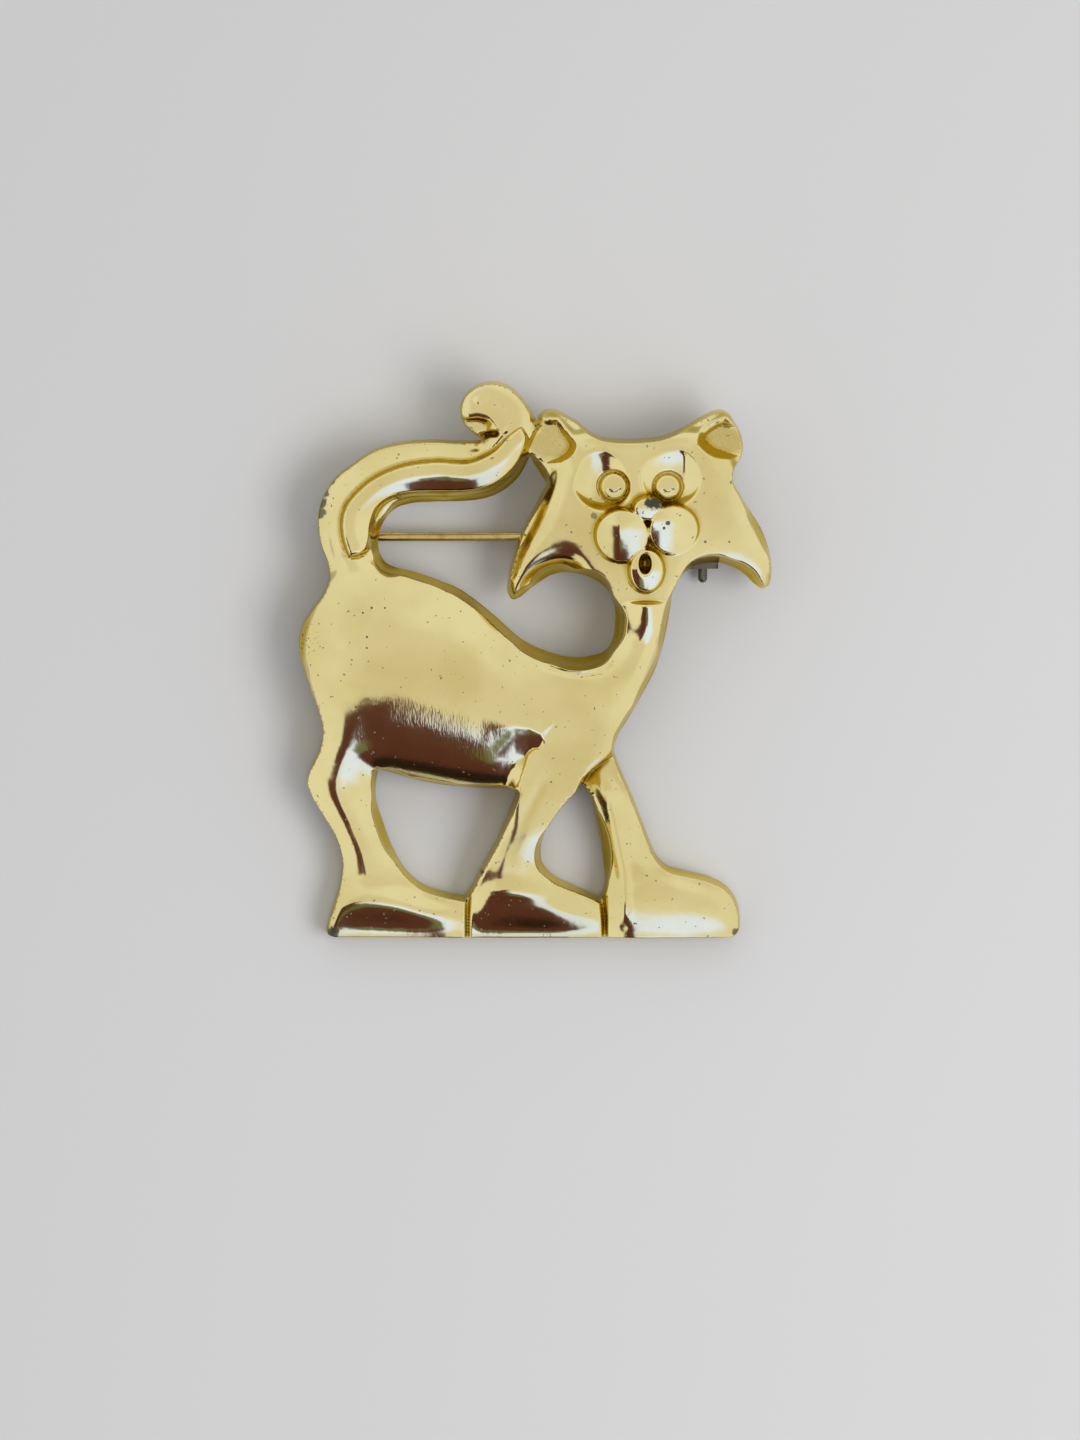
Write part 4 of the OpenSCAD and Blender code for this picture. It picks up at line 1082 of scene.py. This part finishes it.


# Bright pale gold plating. The spots are worn or bitten places: x and y in tenths of a millimetre from the
# picture's upper left corner, height and radius in millimetres, and how grey they are. The haunch and the
# belly have x, y and height in the same way. A noise has its scale and its detail, and depths are in metres
# deep is painted shade on the walls and in the hollows, and a deeper tone in the clouds and on the stippled
# ear floors; darkestShade is painted shadow in the deepest hollows
gold = {
    "bright": (0.88, 0.78, 0.40), "deep": (0.52, 0.37, 0.035), "edge": (0.90, 0.76, 0.36),
    "worn": (0.055, 0.057, 0.055), "darkestShade": (0.05, 0.04, 0.02), "roughness": 0.09, "bump": 0.6, "peel": 0.4,
    "haunch": (308, 640, 3.5), "belly": (430, 715, 5.0), "brushed": (1.0, 0.14, 1.0), "brushedScale": 5200,
    "spotRagged": 1.1, "spotFull": 0.55,
    "noises": {
        "cloud": (120, 3.0), "ragged": (2600, 3.0), "pits": (3400, 2.0), "specks": (2300, 1.0),
        "grain": (5200, 2.0), "peel": (420, 2.0), "finePeel": (900, 1.0),
    },
    "fades": {
        "haunch": (0.6, 2.6), "belly": (5.0, 9.5), "pits": (0.60, 0.68), "specks": (0.735, 0.76),
        "hollow": (0.1, 0.8), "cloud": (0.35, 0.7), "deepHollow": (0.75, 1.0),
    },
    "shares": {
        "low": 0.9, "pits": 0.8, "specks": 0.6, "wall": 0.85, "hollow": 0.95, "cloud": 0.25, "stipple": 0.35,
        "deepHollow": 0.45,
    },
    "dull": {"cloud": 0.05, "stipple": 0.16, "worn": 0.3, "behind": 0.12, "wall": 0.05},
    "depths": {
        "peel": 0.00012, "finePeel": 0.00003, "belly": 0.000012, "brushed": 0.000003, "stipple": 0.00009,
        "behind": 0.00004, "worn": 0.00002,
    },
    "spots": [
        (320, 512, 3.0, 0.7, 0.8), (321, 503, 3.0, 0.75, 0.85), (325, 493, 3.0, 0.5, 0.8),
        (331, 482, 3.0, 0.4, 0.8), (336, 475, 3.0, 0.35, 0.7), (343, 468, 3.0, 0.3, 0.7),
        (349, 463, 3.0, 0.25, 0.6), (333, 932, 2.0, 0.75, 0.9), (736, 932, 1.5, 0.55, 0.8),
        (655, 503, 6.8, 0.85, 0.97), (648, 503, 6.8, 0.55, 0.95), (668, 523, 7.0, 0.3, 0.9),
        (664, 528, 7.0, 0.2, 0.9), (482, 872, 4.2, 0.28, 0.9), (372, 608, 5.0, 0.14, 0.9),
        (363, 613, 5.2, 0.13, 0.9), (385, 608, 5.2, 0.12, 0.8), (367, 637, 5.8, 0.13, 0.9),
        (367, 648, 6.0, 0.12, 0.9), (705, 542, 4.4, 0.18, 0.8), (729, 542, 4.2, 0.13, 0.8),
        (352, 660, 5.5, 0.1, 0.7), (383, 668, 6.1, 0.1, 0.7), (440, 676, 6.7, 0.1, 0.6),
        (500, 712, 6.9, 0.1, 0.6), (356, 708, 5.6, 0.15, 0.7), (594, 516, 4.9, 0.4, 0.6),
    ],
}


def goldPlate():
    made, start, place = newFinish("gold_plate")
    # wall and hollow hold the painted shade laid on the casting
    wall, hollow, stipple, behind, low = (
        fact(start, name) for name in ("wall", "hollow", "stipple", "behind", "low")
    )
    noise = {name: place.noise(*look) for name, look in gold["noises"].items()}
    fades, shares, depths = gold["fades"], gold["shares"], gold["depths"]
    cloud, grain = noise["cloud"], noise["grain"]
    worn, flat = None, place.stretched((1, 1, 0))
    for px, py, height, radius, grey in gold["spots"]:
        x, y, _ = placeOnBrooch(px, py, height)
        away = flat.awayFrom((x, y, 0)) + (noise["ragged"] - 0.5) * radius * gold["spotRagged"]
        spot = (1 - away.fade(radius * gold["spotFull"], radius)) * grey
        worn = spot if worn is None else worn.over(spot)
    # fine pits over the haunch, and specks all over
    haunch = 1 - place.awayFrom(placeOnBrooch(*gold["haunch"])).fade(*fades["haunch"])
    pitted = noise["pits"].fade(*fades["pits"]) * haunch * shares["pits"]
    specks = noise["specks"].fade(*fades["specks"]) * shares["specks"]
    worn = (worn * (1 - low * shares["low"])).over(pitted).over(specks) * (1 - behind)
    # the colour: painted shade on the walls and in the hollows, clouded, and darkest painted shade where a
    # hollow is deepest
    shade = (wall * shares["wall"]).over(hollow.fade(*fades["hollow"]) * shares["hollow"])
    colour = shade.between(gold["bright"], gold["deep"])
    # the deepest hollows and the mouth get a near black painted shadow
    for name, mask, tint in (
        ("cloud", cloud.fade(*fades["cloud"]), "deep"), ("stipple", stipple, "deep"),
        ("deepHollow", hollow.fade(*fades["deepHollow"]), "darkestShade"),
    ):
        colour = (mask * shares[name]).between(colour, gold[tint])
    colour = worn.between(colour, gold["worn"])
    masks = {"cloud": cloud, "stipple": stipple, "worn": worn, "behind": behind, "wall": wall}
    dull = gold["roughness"]
    for name, mask in masks.items():
        dull = dull + mask * gold["dull"][name]
    # a soft peel, fine lines brushed across the belly, and the grain of bare cast metal
    belly = 1 - place.awayFrom(placeOnBrooch(*gold["belly"])).fade(*fades["belly"])
    brushed = place.stretched(gold["brushed"]).noise(gold["brushedScale"])
    peel = noise["peel"] * depths["peel"] + noise["finePeel"] * depths["finePeel"]
    fine = brushed * (belly * depths["belly"] + depths["brushed"])
    fine = fine + grain * stipple * depths["stipple"] + grain * behind * depths["behind"]
    height = peel * gold["peel"] + fine - worn * depths["worn"]
    finishMetal(start, colour, dull, height, gold["bump"], **{"Specular Tint": gold["edge"]})
    return made


# The wire and the plates behind have lines along them and blotches of tarnish
goldWire = {
    "name": "gold_wire", "clean": (0.66, 0.51, 0.20), "tarnished": (0.36, 0.24, 0.07), "share": 0.45,
    "blotches": 900, "fade": (0.45, 0.75), "along": (0.03, 1.0, 1.0), "lines": 9000, "depth": 0.00001,
    "roughness": 0.16,
}
darkSteel = {
    "name": "dark_steel", "clean": (0.17, 0.16, 0.14), "tarnished": (0.08, 0.068, 0.05), "share": 0.6,
    "blotches": 700, "fade": (0.4, 0.7), "along": (0.06, 1.0, 1.0), "lines": 7000, "depth": 0.00002,
    "roughness": 0.28,
}
tarnished = {"detail": 3.0, "dull": 0.2, "bump": 0.5}


def plainMetal(look):
    made, start, place = newFinish(look["name"])
    tarnish = place.noise(look["blotches"], tarnished["detail"]).fade(*look["fade"])
    scored = place.stretched(look["along"]).noise(look["lines"]) * look["depth"]
    colour = (tarnish * look["share"]).between(look["clean"], look["tarnished"])
    dull = look["roughness"] + tarnish * tarnished["dull"]
    finishMetal(start, colour, dull, scored, tarnished["bump"])
    return made


plate, wire, steel = goldPlate(), plainMetal(goldWire), plainMetal(darkSteel)
for piece in (catBody, studPiece):
    piece.data.materials.append(plate)
    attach(piece, "brooch")
    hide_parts("cat_casting")
for node, finish in {
    "hinge_bracket": steel, "hinge_rivet": wire, "pin_stem": wire, "catch_housing": steel,
    "catch_roller": steel,
}.items():
    thing = bpy.data.objects[node]
    for slot in thing.material_slots:
        slot.material = finish
print("finishes put on")

# The table, the room that the gold mirrors, and the camera. The room is laid out by the slopes of a mirror
# on the table, across and up the picture, that would show a direction to the camera
table = {
    "half": 1.2, "tones": ((0.54, 0.54, 0.53), (0.56, 0.565, 0.575)), "cloud": 3.0, "roughness": 0.75,
}
room = {
    "pale": (0.84, 0.83, 0.80), "overhead": (0.74, 0.70, 0.62),
    "overheadPlace": {"at": (-0.02, 0.0), "radii": (1.0, 1.0), "fade": (0.01, 0.09)},
    "window": (0.84, 1.02, 1.9),
    "windowPlace": {"across": [(-0.30, -0.18), (0.32, 0.18)], "up": [(-0.22, -0.32), (-1.0, -0.85)]},
    "maroon": (0.10, 0.035, 0.03),
    "maroonPlace": {"across": [(0.13, 0.10), (-0.34, -0.29)], "up": [(-0.18, -0.21)]},
    "maroonEdge": {"slant": 0.39, "shift": 0.194, "level": 0.44, "fade": (0.02, -0.02)},
    "olive": (0.16, 0.17, 0.09),
    "olivePlace": {"at": (-0.02, -0.44), "radii": (0.09, 0.06), "fade": (0.5, 1.0)},
    "shadow": (0.02, 0.012, 0.01),
    "shadowPlace": {"across": [(-0.5, -0.4), (0.3, 0.2)], "up": [(-0.6, -0.72)]},
    "strength": 1.0, "horizon": 0.05,
    "wobble": {"scale": 4.0, "across": 0.12, "up": 0.1, "fringe": 0.06},
}
lamp = {
    "size": (0.35, 0.25), "energy": 1.6, "colour": (1.0, 0.99, 0.98), "at": (0.30, -0.10, 0.42),
    "away": (0.30, -0.08, 0.42),
}


def layTable():
    made, start, place = newFinish("table_top")
    colour = place.noise(table["cloud"]).between(*table["tones"])
    finishOff(start, {"Base Color": colour, "Roughness": table["roughness"]})
    half = table["half"]
    corners = [(-half, -half, 0), (half, -half, 0), (half, half, 0), (-half, half, 0)]
    top = makeObject("table_top", corners, np.array([(0, 1, 2), (0, 2, 3)]), made, smooth=False)


def roundPatch(px, py, place):
    x, y = ((p - at) / radius for p, at, radius in zip((px, py), place["at"], place["radii"]))
    return 1 - (x**2 + y**2).fade(*place["fade"])


def squarePatch(px, py, place):
    patch = py.fade(*place["up"][0])
    for slope, fades in ((py, place["up"][1:]), (px, place["across"])):
        for fade in fades:
            patch = patch * slope.fade(*fade)
    return patch


def lightRoom():
    world = bpy.data.worlds.new("room")
    bpy.context.scene.world = world
    world.use_nodes = True
    world.node_tree.nodes.clear()
    start = Wire(world.node_tree)
    way = start.node("ShaderNodeTexCoord", None, None, 0)
    x, y, z = (way.part(k) for k in range(3))
    lift = (z + 1).over(room["horizon"])
    sway = room["wobble"]
    wobble = way.noise(sway["scale"]) - 0.5
    px, py = x / lift + wobble * sway["across"], y / lift + wobble * sway["up"]
    # the maroon lies left of a slanting line or below a level one, both with a slight fringe
    edge, fringe = room["maroonEdge"], wobble * sway["fringe"]
    slanted = (px + py * edge["slant"] + edge["shift"] + fringe).fade(*edge["fade"])
    beside = slanted.over((py + edge["level"] + fringe).fade(*edge["fade"]))
    colour = roundPatch(px, py, room["overheadPlace"]).between(room["pale"], room["overhead"])
    colour = squarePatch(px, py, room["windowPlace"]).between(colour, room["window"])
    colour = (squarePatch(px, py, room["maroonPlace"]) * beside).between(colour, room["maroon"])
    colour = roundPatch(px, py, room["olivePlace"]).between(colour, room["olive"])
    colour = squarePatch(px, py, room["shadowPlace"]).between(colour, room["shadow"])
    # straight to the camera it is plain
    seen = start.node("ShaderNodeLightPath", None, None, 0)
    plain = seen.between(colour, room["pale"])
    light = start.node("ShaderNodeBackground", None, {"Color": plain, "Strength": room["strength"]})
    start.node("ShaderNodeOutputWorld", None, {"Surface": light})


def hangLamp():
    # a broad soft lamp on the window's side, which only gives the shadows their lean
    data = bpy.data.lights.new("window_side", "AREA")
    data.shape = "RECTANGLE"
    data.size, data.size_y = lamp["size"]
    data.energy, data.color = lamp["energy"], lamp["colour"]
    hung = addToScene("window_side", data)
    hung.location = lamp["at"]
    hung.rotation_euler = Vector(lamp["away"]).to_track_quat("Z", "Y").to_euler()
    hung.visible_glossy = False
    hung.visible_camera = False


def setCamera():
    data = bpy.data.cameras.new("camera")
    camera = addToScene("camera", data)
    x = sight["centre"][0] - brooch["width"] / 2
    y = sight["centre"][1] - halfTall
    camera.location = (x * brooch["mm"], y * brooch["mm"], sight["distance"] * brooch["mm"])
    data.angle = 2 * math.atan(sight["pictureHeight"] / 2 / (sight["distance"] - sight["midHeight"]))
    data.clip_start, data.clip_end = sight["clip"]
    bpy.context.scene.camera = camera


layTable()
lightRoom()
hangLamp()
setCamera()
bpy.context.scene.view_settings.view_transform = "Standard"
print("room and camera set")
